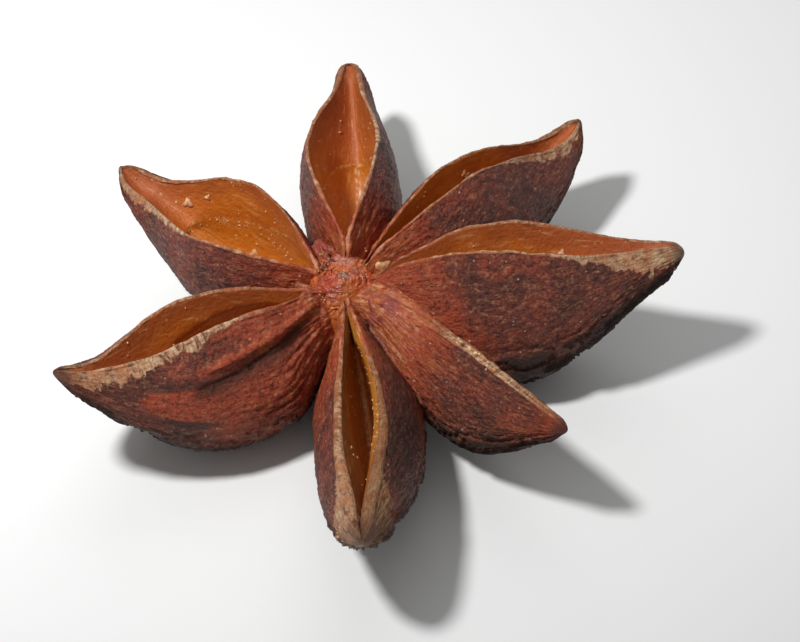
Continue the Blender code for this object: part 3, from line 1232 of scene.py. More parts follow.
@dataclass(frozen=True)
class Carpel:
    """One carpel: its driving dimensions, in millimetres and degrees, and its tones.

    rim and keel are control heights from the hub to the beak. A positive lean tips the rim over
    to the right of the way the carpel points, and sweep bends its beak to the left. The lips are
    the rims' thicknesses and the bands the torn rims' widths on the outer sides, hub to beak.
    rusts runs from 0, dull skin, through 1, rust, to 2, bare pith, hub to beak. fan and bark
    scale the long wrinkles from the hub and the furrows by the keel.
    """

    name: str
    azimuth: float
    length: float
    rim: tuple
    keel: tuple
    gap_left: float
    gap_right: float
    gap_peak: float
    half_width: float
    lean: float = 0.0
    sweep: float = 0.0
    lips: tuple = (0.15, 0.15, 0.15, 0.15, 0.15, 0.15)
    slit_start: float = 0.07
    slit_end: float = 0.93
    shoulder: float = 0.33
    blunt: float = 0.38
    beak_gap: float = 0.35
    beak_depth: float = 1.0
    beak_round: float = 0.9
    tip_shade: float = 0.85
    root_dive: float = 0.5
    face_curve: float = 0.7
    seed_width: float = 1.6
    hollow: bool = True
    band_left: tuple = (0.0, 0.05, 0.1, 0.2, 0.4, 0.4)
    band_right: tuple = (0.0, 0.05, 0.1, 0.2, 0.4, 0.4)
    rusts: tuple = (1.5, 0.55, 0.3, 0.2, 0.2, 0.3)
    # How bright each side's lining is: partly its colour, partly painted light and shade as its face
    # turns to or from the lamp, and painted shadow below 0.
    amber_left: float = 0.5
    amber_right: float = 0.5
    fan: float = 0.35
    bark: float = 1.0
    creases: tuple = ()
    reds: tuple = ()
    # Dark patches: painted shade on the south carpel next to the south-east one and along the
    # south-east's keel, and dark lines round the south-west's red patch.
    shades: tuple = ()


class CarpelShell:
    """Builds one carpel's closed surface and dresses it."""

    CLOSED_SLIT = 0.02
    CLOSED_DEPTH = 0.06
    SHUT_DEPTH = 0.03
    SHUT_LEAST = 0.1
    SHUT_START = 0.3
    SHUT_LENGTH = 0.15
    OPEN_GAP = 0.25
    FOLD_SHARE = 0.62
    FOLD_DEEPEST = 0.45
    FOLD_RISE = 0.6
    FLOOR = 2.0
    WALL = 0.55
    SEED_CENTRE = 0.38
    SEED_HALF_LENGTH = 4.6
    SEED_HALF_HEIGHT = 2.7
    SEED_GAP_SHARE = 0.45
    SEED_BORDER = 0.2
    HOLLOW_EDGE = 5.0
    SIDE_FULLEST = 0.375
    SIDE_RISE = 0.6
    SIDE_TAPER = 0.8
    SIDE_CROWDING = 1.6
    BEAK_GAP_START = 0.45
    BEAK_GAP_FULL = 0.82
    BEAK_GAP_END = 0.985
    BEAK_GROOVE = 0.7
    ROOT_SHARE = 0.10
    ROOT_FULLNESS = 0.3
    TIP_LENGTH = 1.1
    TIP_BORDER = 0.7
    GAP_WANDER = 0.05
    GAP_WAVES = 9
    GAP_SEED = 17
    RIM_WANDER = 0.10
    RIM_WAVES = 12
    RIM_SEED = 31
    CREST = 0.5
    SHUT_CREST = 0.1
    CREST_WIDEST = 0.6
    CREASE_ABOVE = 2.2
    CREASE_BELOW = 0.9
    CREASE_FADE = 0.2
    SEAM_LEAST = 0.1
    SEAM_MORE = 0.8
    SEAM_SHARE = 0.45
    RED_HEIGHT = 0.5
    SHADE_DEPTH = 0.3
    STATIONS = 216
    DOME_RINGS = 12
    SIDE_POINTS = 112
    LIP_POINTS = 9
    FACE_POINTS = 70
    FINE_POINTS = 360
    TONE_SHARES = (0.08, 0.30, 0.50, 0.70, 0.85, 0.95)

    def __init__(self, carpel: Carpel, seed: int) -> None:
        """Works out what changes along the length.

        Args:
            carpel: The carpel's sizes and tones.
            seed: Picks its unevenness.
        """
        self.carpel = carpel
        self.seed = seed
        end = 1.0 - carpel.beak_round / (carpel.length - ROOT_RADIUS)
        turn = np.linspace(0.0, 0.5 * math.pi, self.DOME_RINGS + 2)[1:-1]
        body = np.linspace(0.0, end, self.STATIONS)
        share = np.concatenate((body, end + (1.0 - end) * np.sin(turn)))[:, None]
        self.share = share
        self.scale = np.concatenate((np.ones_like(body), np.cos(turn)))[:, None]
        dive = carpel.root_dive * (1.0 - smooth(share / self.ROOT_SHARE))
        self.rim = bezier(carpel.rim, share) - dive
        self.keel = bezier((*carpel.keel, carpel.rim[-1] - carpel.beak_depth), share)
        self.height = self.rim - self.keel
        rise = self.ROOT_FULLNESS + (1.0 - self.ROOT_FULLNESS) * smooth(share / carpel.shoulder)
        full = (1.0 - share**3) ** self.SIDE_TAPER * rise
        self.bulge = np.hypot(carpel.half_width * full, carpel.blunt)
        self.lip = self.read(carpel.lips)

    def read(self, tones: tuple) -> np.ndarray:
        """Reads a row of numbers, given from hub to beak, at each station."""
        return np.interp(self.share, self.TONE_SHARES, tones)

    def opening(self) -> np.ndarray:
        """Works out how far the slit stands open.

        Returns:
            How far, from 0 to 1, at each station.
        """
        start, peak, end = self.carpel.slit_start, self.carpel.gap_peak, self.carpel.slit_end
        rise = np.clip((self.share - start) / (peak - start), 0.0, 1.0)
        fall = np.clip((end - self.share) / (end - peak), 0.0, 1.0)
        closing = 0.5 * (np.sin(0.5 * math.pi * fall) + smooth(fall))
        return np.where(self.share < peak, np.sin(0.5 * math.pi * rise), closing)

    def gap(self, size: float) -> np.ndarray:
        """Works out the slit's half width at each station, with the beak's shallow groove.

        Args:
            size: The half width where the slit is widest.

        Returns:
            The half widths.
        """
        start, full, end = self.BEAK_GAP_START, self.BEAK_GAP_FULL, self.BEAK_GAP_END
        fill = smooth((self.share - start) / (full - start))
        close = np.clip((self.share - full) / (end - full), 0.0, 1.0)
        beak = self.carpel.beak_gap * fill * np.sqrt(1.0 - close**2)
        slit = size * self.opening()
        return np.maximum(self.CLOSED_SLIT, (slit**3 + beak**3) ** (1.0 / 3.0))

    def side(self, level: np.ndarray, gap: np.ndarray) -> np.ndarray:
        """Works out how far out the side is at a share of its height."""
        bulge = self.bulge * hump(level, self.SIDE_FULLEST, self.SIDE_RISE)
        return level * (gap + self.lip) + bulge

    def creased(self, side: Side, level: np.ndarray) -> np.ndarray:
        """Works out how far the creases of one side push it out.

        Args:
            side: Which half.
            level: The share of the side's height.

        Returns:
            The distances, below 0 where a crease is a furrow.
        """
        push = np.zeros(np.broadcast(self.share, level).shape)
        for crease in self.carpel.creases:
            if crease.side is side:
                run = (self.share - crease.start[0]) / (crease.end[0] - crease.start[0])
                line = crease.start[1] + (crease.end[1] - crease.start[1]) * run
                off = (level - line) * self.height / crease.width
                slope = np.where(off > 0.0, self.CREASE_ABOVE, self.CREASE_BELOW)
                fade = self.CREASE_FADE
                window = smooth(run / fade) * smooth((1.0 - run) / fade)
                push = push + crease.height * window * np.exp(-((slope * off) ** 2))
        return push

    def half(self, side: Side) -> np.ndarray:
        """Builds one half of every section, from the keel up the side, over the lip and down.

        Args:
            side: Which half.

        Returns:
            Lines of points (across, height, inside, seed), across counted outwards.
        """
        carpel, number = self.carpel, self.seed + int(side.value)
        gap = self.gap(carpel.gap_left if side is Side.LEFT else carpel.gap_right)
        shift = self.GAP_WANDER * wander(self.share, number + self.GAP_SEED, self.GAP_WAVES)
        gap = gap + shift * np.minimum(1.0, gap - self.CLOSED_SLIT)
        lift = self.RIM_WANDER * wander(self.share, number + self.RIM_SEED, self.RIM_WAVES)
        rim = self.rim + lift * np.minimum(1.0, self.opening())

        level = np.linspace(0.0, 1.0, self.FINE_POINTS)[None, :] ** self.SIDE_CROWDING
        outer = self.side(level, gap) + self.creased(side, level)
        flank = evenly(self.lines(outer, self.keel + (rim - self.keel) * level), self.SIDE_POINTS)
        turn = np.linspace(0.0, math.pi, self.LIP_POINTS + 2)[None, 1:-1]
        crest = self.CREST if carpel.hollow else self.SHUT_CREST
        crest = crest * np.minimum(self.lip, self.CREST_WIDEST) * np.sin(turn)
        lip = self.lines(gap + self.lip * 0.5 * (1.0 + np.cos(turn)), rim + crest)
        face = evenly(self.face(gap, rim), self.FACE_POINTS)
        return np.concatenate((flank, lip, face), axis=1)

    @staticmethod
    def lines(across: np.ndarray, height: np.ndarray) -> np.ndarray:
        """Joins the numbers of outside points into lines.

        Args:
            across: How far out they are.
            height: How high they are.

        Returns:
            Lines of points (across, height, inside, seed), with the last two at 0.
        """
        across, height = np.broadcast_arrays(across, height)
        blank = np.zeros_like(across)
        return np.stack((across, height, blank, blank), axis=-1)

    def face(self, gap: np.ndarray, rim: np.ndarray) -> np.ndarray:
        """Builds the inner face of every section from the rim down to the fold.

        Args:
            gap: How far the rim stands from the middle.
            rim: The rim's height.

        Returns:
            Lines of points (across, height, inside, seed).
        """
        carpel, share = self.carpel, self.share
        if carpel.hollow:
            inner = (share - carpel.slit_start) / (carpel.slit_end - carpel.slit_start)
            fold = self.FOLD_SHARE * self.height * hump(inner, self.FOLD_DEEPEST, self.FOLD_RISE)
            depth = np.maximum(np.maximum(self.CLOSED_DEPTH, fold), self.BEAK_GROOVE * gap)
            along = (share - self.SEED_CENTRE) * (carpel.length - ROOT_RADIUS)
            reach = np.sqrt(np.clip(1.0 - (along / self.SEED_HALF_LENGTH) ** 2, 0.0, 1.0))
        else:
            shut = smooth((share - self.SHUT_START) / self.SHUT_LENGTH)
            depth = self.SHUT_DEPTH * (self.SHUT_LEAST + (1.0 - self.SHUT_LEAST) * shut)
            reach = np.zeros_like(share)
        keel = bezier((*carpel.keel, carpel.rim[-1]), np.array(self.SEED_CENTRE))
        seed_height = keel + self.FLOOR + self.SEED_HALF_HEIGHT
        sunk = np.maximum(seed_height - self.SEED_HALF_HEIGHT * reach, self.keel + self.FLOOR)
        fold = np.where(reach > 0.0, np.minimum(self.rim - depth, sunk), self.rim - depth)

        level = 1.0 - np.linspace(0.0, 1.0, self.FINE_POINTS)[None, :]
        at = fold + (rim - fold) * level
        flat = gap * np.clip(1.0 - (rim - at) / depth, 0.0, 1.0) ** carpel.face_curve
        up = (at - seed_height) / self.SEED_HALF_HEIGHT
        wide = carpel.seed_width * np.sqrt(np.clip(reach * reach - up * up, 0.0, 1.0))
        hollow = wide * max(1.0, self.SEED_GAP_SHARE * float(gap.max()))
        share_up = np.clip((at - self.keel) / self.height, 0.0, 1.0)
        limit = self.side(share_up, gap) - self.WALL
        power = self.HOLLOW_EDGE
        across = (flat**power + hollow**power) ** (1.0 / power)
        across = np.maximum(self.CLOSED_SLIT * level, np.minimum(across, np.maximum(limit, flat)))
        across[:, -1] = 0.0
        inside = smooth(gap / self.OPEN_GAP) * np.ones_like(at)
        return np.stack((across, at, inside, smooth((hollow - flat) / self.SEED_BORDER)), axis=-1)

    def attributes(self, side: Side, half: np.ndarray) -> dict:
        """Works out the attributes of one half.

        Args:
            side: Which half.
            half: Its points, as half() gives them.

        Returns:
            The skin, zone, tone and mark attributes, each as lines of vectors.
        """
        carpel, left = self.carpel, side is Side.LEFT
        run = lengths(half)
        outer = slice(0, self.SIDE_POINTS)
        edge = self.SIDE_POINTS + self.LIP_POINTS
        crest = run[:, edge - 1:edge]
        down = crest - run
        total = np.where(down > 0.0, crest, run[:, -1:] - crest)
        turn = down / np.maximum(total, 1e-6)
        full = np.ones_like(down)
        along = ROOT_RADIUS + (carpel.length - ROOT_RADIUS) * self.share * full
        skin = np.stack((along, np.abs(down), turn if left else 2.0 - turn), axis=-1)

        lip = np.zeros_like(down)
        lip[:, self.SIDE_POINTS:edge] = 1.0
        if not carpel.hollow:
            wide = 1.0 - smooth(self.share / self.SEAM_SHARE)
            fade = self.SEAM_LEAST + self.SEAM_MORE * wide
            lip[:, outer] = smooth(1.0 - down[:, outer] / fade)
        zone = np.stack((half[..., 2], half[..., 3], lip), axis=-1)
        band = self.read(carpel.band_left if left else carpel.band_right) * full
        amber = (carpel.amber_left if left else carpel.amber_right) * full
        tone = np.stack((self.read(carpel.rusts) * full, band, amber), axis=-1)

        level = np.clip((half[:, outer, 1] - self.keel) / self.height, 0.0, 1.0)
        push = self.creased(side, level)
        # The second mark is painted shade: the shade patches, and the furrows that the creases sink.
        marks = []
        for patches, folds in ((carpel.reds, push / self.RED_HEIGHT),
                               (carpel.shades, -push / self.SHADE_DEPTH)):
            mark = np.zeros_like(down)
            for patch in patches:
                if patch.side is side:
                    off = np.hypot((along - patch.along) / patch.half_length,
                                   (turn - patch.down) * total / patch.half_height)
                    mark[:, outer] += patch.strength * np.exp(-(off[:, outer] ** 4))
            mark[:, outer] += np.clip(folds, 0.0, None)
            marks.append(mark)
        from_tip = along - carpel.length + self.TIP_LENGTH
        tip = smooth(from_tip / (self.TIP_BORDER * self.TIP_LENGTH))
        mark = np.stack((*marks, tip * carpel.tip_shade), axis=-1)
        return {"skin": skin, "zone": zone, "tone": tone, "mark": mark}

    def rings(self) -> tuple:
        """Joins the halves into closed rings, and draws the last of them in to round the beak.

        Returns:
            The rings' points along the carpel's own axes, and the attributes of each point.
        """
        left, right = self.half(Side.LEFT), self.half(Side.RIGHT)
        left_marks = self.attributes(Side.LEFT, left)
        right_marks = self.attributes(Side.RIGHT, right)
        back = slice(-2, 0, -1)
        marks = {key: np.concatenate((value, right_marks[key][:, back]), axis=1)
                 for key, value in left_marks.items()}
        along = marks["skin"][..., 0]
        across = np.concatenate((left[..., 0], -right[:, back, 0]), axis=1)
        across = across + self.carpel.sweep * (along / self.carpel.length) ** 2
        height = np.concatenate((left[..., 1], right[:, back, 1]), axis=1)
        across, height = self.drawn_in(across), self.drawn_in(height)
        return np.stack((along, across, height - ROLL_HEIGHT), axis=-1), marks

    def drawn_in(self, numbers: np.ndarray) -> np.ndarray:
        """Draws each ring's numbers in to their middle, as far as the beak's rounding says."""
        middle = 0.5 * (numbers.min(axis=1) + numbers.max(axis=1))[:, None]
        return middle + (numbers - middle) * self.scale

    def placed(self, points: np.ndarray) -> np.ndarray:
        """Leans and turns points from the carpel's own axes to their place in the pod.

        Args:
            points: The points, in millimetres.

        Returns:
            The points, in metres.
        """
        lean, turn = math.radians(self.carpel.lean), math.radians(self.carpel.azimuth)
        x, y, z = points[..., 0], points[..., 1], points[..., 2]
        y, z = y * math.cos(lean) - z * math.sin(lean), y * math.sin(lean) + z * math.cos(lean)
        x, y = x * math.cos(turn) - y * math.sin(turn), x * math.sin(turn) + y * math.cos(turn)
        moved = np.stack((x + AXIS_OFFSET[0], y + AXIS_OFFSET[1], z + ROLL_HEIGHT), axis=-1)
        return moved * MM

    @staticmethod
    def unwrap(mesh: bpy.types.Mesh, count: int, loop: int) -> None:
        """Lays the rings out side by side as the mesh's map, in the order of its faces.

        Args:
            mesh: The mesh, as tube() makes it.
            count: How many rings it has.
            loop: How many points each ring has.
        """
        rows = (np.arange(count) + 1.0) / (count + 1.0)
        columns = np.arange(loop + 1) / loop
        low, high = np.meshgrid(rows[:-1], columns[:-1], indexing="ij")
        top, wide = np.meshgrid(rows[1:], columns[1:], indexing="ij")
        quads = np.stack((low, high, top, high, top, wide, low, wide), axis=-1)
        near, far = np.full(loop, rows[0]), np.full(loop, rows[-1])
        first, second = columns[:-1], columns[1:]
        middle = 0.5 * (first + second)
        root = np.stack((near, first, near, second, np.zeros(loop), middle), axis=-1)
        beak = np.stack((far, second, far, first, np.ones(loop), middle), axis=-1)
        laid = np.concatenate((quads.ravel(), root.ravel(), beak.ravel()))
        mesh.uv_layers.new(name=BAKE_UV).data.foreach_set("uv", laid.astype(np.float32))

    def mesh(self) -> bpy.types.Mesh:
        """Builds the closed mesh with its attributes and its own unwrapped map.

        Returns:
            The mesh.
        """
        points, marks = self.rings()
        count, loop = points.shape[:2]
        poles = np.array((points[0].mean(axis=0), points[-1].mean(axis=0)))
        corners = self.placed(np.concatenate((points.reshape(-1, 3), poles)))
        mesh = tube(self.carpel.name, corners, count, loop)
        for key, value in marks.items():
            ends = np.array((value[0].mean(axis=0), value[-1].mean(axis=0)))
            flat = np.concatenate((value.reshape(-1, 3), ends)).astype(np.float32)
            layer = mesh.attributes.new(key, "FLOAT_VECTOR", "POINT")
            layer.data.foreach_set("vector", flat.ravel())
        self.unwrap(mesh, count, loop)
        return mesh

    def build(self, relief: bpy.types.NodeTree, sizes: Relief,
              husk: bpy.types.Material) -> bpy.types.Object:
        """Builds the finished piece.

        Args:
            relief: The tree that wrinkles the skin.
            sizes: The wrinkles' sizes.
            husk: The material.

        Returns:
            The piece.
        """
        carpel = self.carpel
        values = {"Undulation": sizes.undulation, "Wrinkle": sizes.wrinkle,
                  "Fan": sizes.fan * carpel.fan, "Furrow": sizes.furrow * carpel.bark,
                  "Grain": sizes.grain, "Bead": sizes.bead, "Curd": sizes.curd,
                  "Lining": sizes.lining, "Length": carpel.length, "Seed": float(self.seed),
                  "Material": husk}
        return grow(f"carpel_{carpel.name}", self.mesh(), relief, values)


CARPELS = (
    Carpel("south_east", 317.0, 16.0, (7.0, 7.6, 7.9, 7.6, 7.7, 8.0), (3.6, 6.0, 1.5, -3.2, 5.6),
           0.02, 0.02, 0.50, 1.7, lean=-7.0, sweep=-1.0, lips=(0.8, 0.4, 0.25, 0.25, 0.2, 0.2),
           shoulder=0.42, beak_gap=0.0, blunt=0.3, beak_depth=0.8, root_dive=0.3, hollow=False,
           band_left=(0.0, 0.0, 0.16, 0.24, 0.05, 0.0), band_right=(0.0, 0.0, 0.18, 0.28, 0.08, 0.0),
           rusts=(2.0, 1.2, 0.45, 0.3, 0.6, 0.9), fan=0.7,
           reds=(Patch(Side.RIGHT, 5.0, 0.6, 3.5, 1.2),),
           # The shades patch is painted shade along the keel of its south-west side.
           shades=(Patch(Side.RIGHT, 6.0, 1.0, 6.0, 0.5, 0.6),)),
    Carpel("east", -1.0, 18.4, (7.0, 7.5, 12.8, 7.4, 9.0, 9.0), (1.8, 0.4, -1.2, -3.2, 7.8),
           1.45, 1.55, 0.55, 2.8, lean=-13.0, lips=(0.2, 0.2, 0.22, 0.22, 0.2, 0.2),
           slit_start=0.04, beak_gap=0.3, beak_depth=1.2, tip_shade=0.5,
           band_left=(0.0, 0.05, 0.05, 0.05, 0.1, 0.2), band_right=(0.0, 0.12, 0.2, 0.45, 1.35, 1.2),
           rusts=(1.1, 0.5, 0.35, 0.25, 0.2, 0.3), bark=1.7,
           reds=(Patch(Side.RIGHT, 5.4, 0.5, 2.8, 1.8, 0.75),)),
    Carpel("north_east", 44.0, 19.1, (7.4, 7.7, 10.4, 10.8, 4.0, 7.0), (1.6, -0.2, -0.8, -0.7, 2.7),
           0.85, 0.8, 0.50, 2.8, lean=-4.5, lips=(0.15, 0.15, 0.15, 0.15, 0.25, 0.3),
           slit_start=0.03, beak_gap=0.5, tip_shade=0.3, face_curve=0.5,
           band_left=(0.0, 0.0, 0.0, 0.05, 0.1, 0.1), band_right=(0.0, 0.05, 0.1, 0.45, 0.8, 0.5),
           rusts=(1.5, 0.5, 0.25, 0.15, 0.15, 0.5), amber_left=1.3, amber_right=1.3),
    Carpel("north", 87.0, 18.9, (7.2, 9.2, 9.6, 7.4, 7.4, 6.8), (1.6, -0.1, -0.8, -0.8, 2.9),
           2.35, 1.55, 0.48, 2.0, lean=-5.0, sweep=1.1, lips=(0.2, 0.2, 0.2, 0.2, 0.25, 0.25),
           beak_gap=0.5, blunt=0.3, beak_round=1.3, tip_shade=0.3, face_curve=0.5,
           band_left=(0.0, 0.05, 0.05, 0.0, 0.0, 0.0), band_right=(0.0, 0.15, 0.3, 0.25, 0.05, 0.0),
           rusts=(1.4, 0.4, 0.25, 0.2, 0.3, 0.5), amber_left=0.4, amber_right=0.8),
    Carpel("north_west", 146.5, 16.0, (6.6, 6.9, 9.3, 8.9, 4.7, 7.7), (1.5, -0.4, -0.6, 0.5, 4.2),
           2.35, 2.35, 0.50, 2.3, lean=-4.5, lips=(0.25, 0.15, 0.15, 0.15, 0.2, 0.25),
           beak_gap=0.7, tip_shade=0.3, face_curve=0.5,
           band_left=(0.0, 0.0, 0.1, 0.45, 0.65, 0.6), band_right=(0.0, 0.0, 0.0, 0.0, 0.05, 0.05),
           rusts=(1.4, 0.4, 0.2, 0.15, 0.15, 0.4), amber_left=0.35, amber_right=0.75),
    Carpel("south_west", 210.0, 17.2, (6.9, 6.6, 9.8, 9.1, 5.9, 8.9), (2.4, 0.9, -1.0, -2.9, 4.9),
           1.5, 1.5, 0.54, 3.8, lean=8.0, lips=(0.2, 0.25, 0.2, 0.2, 0.2, 0.2), beak_gap=0.25,
           band_left=(0.0, 0.05, 0.5, 0.9, 1.0, 0.8), band_right=(0.0, 0.05, 0.05, 0.05, 0.1, 0.2),
           rusts=(1.2, 0.9, 0.65, 0.3, 0.2, 0.2), fan=1.8,
           creases=(Crease(Side.LEFT, (0.03, 0.95), (0.60, 0.84), 0.42, 0.24),
                    Crease(Side.LEFT, (0.10, 0.86), (0.66, 0.70), -0.28, 0.55),
                    Crease(Side.LEFT, (0.05, 0.56), (0.45, 0.44), -0.10, 0.14),
                    Crease(Side.LEFT, (0.05, 0.44), (0.48, 0.33), -0.12, 0.14),
                    Crease(Side.LEFT, (0.05, 0.2), (0.62, 0.14), -0.3, 0.35)),
           reds=(Patch(Side.LEFT, 11.7, 0.34, 1.6, 0.8, 2.6),
                 Patch(Side.LEFT, 6.0, 0.5, 3.8, 2.8, 1.2)),
           shades=(Patch(Side.LEFT, 11.5, 0.23, 1.9, 0.28, 0.8),
                   Patch(Side.LEFT, 11.7, 0.46, 2.0, 0.25, 0.8))),
    Carpel("south", 278.0, 18.3, (6.6, 6.6, 6.8, 7.4, 8.8, 8.8), (1.5, -0.2, -1.0, -1.3, 5.6),
           1.1, 0.85, 0.55, 2.5, lean=8.5, sweep=-1.0, lips=(0.25, 0.3, 0.4, 0.6, 0.75, 0.7),
           slit_start=0.02, slit_end=0.97, blunt=0.6, beak_gap=0.1, beak_depth=1.8,
           beak_round=1.2, tip_shade=0.3, root_dive=0.1, face_curve=1.6, seed_width=0.7,
           band_left=(0.0, 0.1, 0.2, 0.4, 1.2, 3.0), band_right=(0.0, 0.1, 0.2, 0.5, 1.2, 3.0),
           # amber_right below 0 paints shadow on the west wall's inner face.
           rusts=(1.8, 0.8, 0.3, 0.25, 0.3, 0.6), amber_left=2.2, amber_right=-1.2, bark=1.2,
           # The shades patch is painted shade on the east side, next to the south-east carpel.
           shades=(Patch(Side.LEFT, 8.0, 0.22, 7.5, 1.5, 0.75),)),
)


@dataclass(frozen=True)
class Hub:
    """The crumbly heart that the carpels grow from, in millimetres: a mound on a wide shoulder.

    A lobe joins the roots of two neighbouring carpels. Its direction and its width are in degrees
    and its reach is a share of the radius.
    """

    radius: float = 2.1
    shoulder_height: float = 6.8
    mound_radius: float = 2.0
    mound_height: float = 0.35
    foot_height: float = 2.0
    shift: tuple = (-0.4, 0.75)
    segments: int = 320
    rings: int = 180
    lump: float = 0.26
    crevice: float = 0.30
    grit: float = 0.26
    split_start: tuple = (-1.8, 0.9)
    split_end: tuple = (-1.0, 2.3)
    split_width: float = 0.20
    split_depth: float = 0.34
    split_wander: float = 0.15
    lobe_turn: float = 117.0
    lobe_width: float = 13.0
    lobe_reach: float = 0.9

    WALL_POWER = 0.8
    TOP_POWER = 0.5
    MOUND_SHARE = 0.75
    MOUND_TILT = 1.6
    SPLIT_SEED = 5
    SPLIT_WAVES = 2.0
    SPLIT_FADE = 2.0
    LUMPS = Noise(780.0, 3.0, 5.0, 0.66, 1.2)
    LUMP_WEIGHT = 3.0
    WARP_SCALE = 1500.0
    WARP_REACH = (0.0007, 0.0007, 0.0007)
    CELL_SCALE = 1200.0
    CREVICE_RANGE = (0.07, 0.0)
    TORN = Noise(420.0, 8.0, 1.0)
    TORN_RANGE = (0.46, 0.60)
    GRITS = Noise(2000.0, 5.0, 3.0, 0.6)
    SOUTH_START = -0.2
    SOUTH_END = -1.1
    SOUTH_RELIEF = 0.4

    def relief(self) -> bpy.types.NodeTree:
        """Builds the tree that breaks the hub's surface into lumps and grit.

        Returns:
            The tree, with the lumps' sizes and a material as its named inputs.
        """
        inputs = {"Geometry": GEOMETRY, "Lump": FLOAT, "Crevice": FLOAT, "Grit": FLOAT,
                  "Material": MATERIAL}
        graph, entry = new_group("hub_relief", "GeometryNodeTree", inputs, ("Geometry", GEOMETRY))
        place = graph.position()
        lump = (place.noise(self.LUMPS) - 0.5) * entry["Lump"] * self.LUMP_WEIGHT
        warp = {"Vector": place, "Scale": self.WARP_SCALE, "Detail": 3.0}
        bent = graph.add("ShaderNodeTexNoise", warp, "Color")
        bent = graph.vector("MULTIPLY", {0: bent, 1: self.WARP_REACH})
        cell = {"Vector": graph.vector("ADD", {0: place, 1: bent}), "Scale": self.CELL_SCALE}
        border = graph.add("ShaderNodeTexVoronoi", cell, "Distance", feature="DISTANCE_TO_EDGE")
        crevice = border.ramp(*self.CREVICE_RANGE) * entry["Crevice"]
        lump = lump - crevice * place.noise(self.TORN).ramp(*self.TORN_RANGE)
        grit = (place.noise(self.GRITS) - 0.5) * entry["Grit"]
        start = (AXIS_OFFSET[1] + self.SOUTH_START) * MM
        end = (AXIS_OFFSET[1] + self.SOUTH_END) * MM
        calm = place.parts()[1].ramp(start, end, self.SOUTH_RELIEF, 1.0)
        height = (lump + grit) * calm - graph.named("split", "FLOAT")
        pushed = graph.push(entry["Geometry"], height, height)
        return graph.give_dressed(pushed, entry["Material"])

    def split(self, corners: np.ndarray) -> np.ndarray:
        """Works out how deep the hub's one deep crack is at each point.

        Args:
            corners: The points, in millimetres.

        Returns:
            The depths, in millimetres.
        """
        start = np.array(self.split_start) + AXIS_OFFSET
        run = np.array(self.split_end) + AXIS_OFFSET - start
        off = corners[:, :2] - start
        share = np.clip(off @ run / (run @ run), 0.0, 1.0)
        far = np.linalg.norm(off - share[:, None] * run, axis=1)
        uneven = wander(self.SPLIT_WAVES * share + corners[:, 0], self.SPLIT_SEED)
        far = far + self.split_wander * uneven
        top = smooth((corners[:, 2] - self.foot_height) / self.SPLIT_FADE)
        return self.split_depth * top * np.exp(-((far / self.split_width) ** 2))

    def build(self, heart: bpy.types.Material) -> bpy.types.Object:
        """Builds the finished piece.

        Args:
            heart: The material.

        Returns:
            The piece.
        """
        turn = np.linspace(0.0, 2.0 * math.pi, self.segments, endpoint=False)[None, :]
        tilt = np.linspace(0.0, math.pi, self.rings + 2)[:, None]
        out = self.radius * np.abs(np.sin(tilt)) ** self.WALL_POWER
        middle = 0.5 * (self.shoulder_height + self.foot_height)
        half = self.shoulder_height - middle
        mound = 1.0 - smooth((out / self.mound_radius) ** 2 * self.MOUND_SHARE)
        mound = self.mound_height * mound * (tilt < self.MOUND_TILT)
        rise = np.sign(np.cos(tilt)) * np.abs(np.cos(tilt)) ** self.TOP_POWER
        height = middle + half * rise + mound
        lean = smooth((height - middle) / half)
        off = (np.degrees(turn) - self.lobe_turn) / self.lobe_width
        reach = out * (1.0 + self.lobe_reach * np.exp(-(off**2)))
        x = AXIS_OFFSET[0] + reach * np.cos(turn) + self.shift[0] * lean
        y = AXIS_OFFSET[1] + reach * np.sin(turn) + self.shift[1] * lean
        points = np.stack((x, y, height * np.ones_like(turn)), axis=-1)
        poles = np.array((points[0].mean(axis=0), points[-1].mean(axis=0)))
        corners = np.concatenate((points[1:-1].reshape(-1, 3), poles))
        mesh = tube("hub", corners * MM, self.rings, self.segments)
        layer = mesh.attributes.new("split", "FLOAT", "POINT")
        layer.data.foreach_set("value", self.split(corners).astype(np.float32))
        values = {"Lump": self.lump, "Crevice": self.crevice, "Grit": self.grit,
                  "Material": heart}
        return grow("hub", mesh, self.relief(), values)


@dataclass(frozen=True)
class Trail:
    """A row of grains, in millimetres.

    start and end are placed from the hub's axis, at the height of the rims, and the grains fall
    from there backwards and down on to the pod. thin is a grain's thickness as a share of its
    width, and a flake is a grain with three corners.
    """

    start: tuple
    end: tuple
    count: int
    size: float
    spread: float = 0.12
    thin: float = 0.7
    flake: bool = False


def lone_flake(x: float, y: float, size: float, thin: float) -> Trail:
    """Makes a trail of one flake, placed from the hub's axis."""
    return Trail((x, y), (x, y), 1, size, 0.0, thin, True)


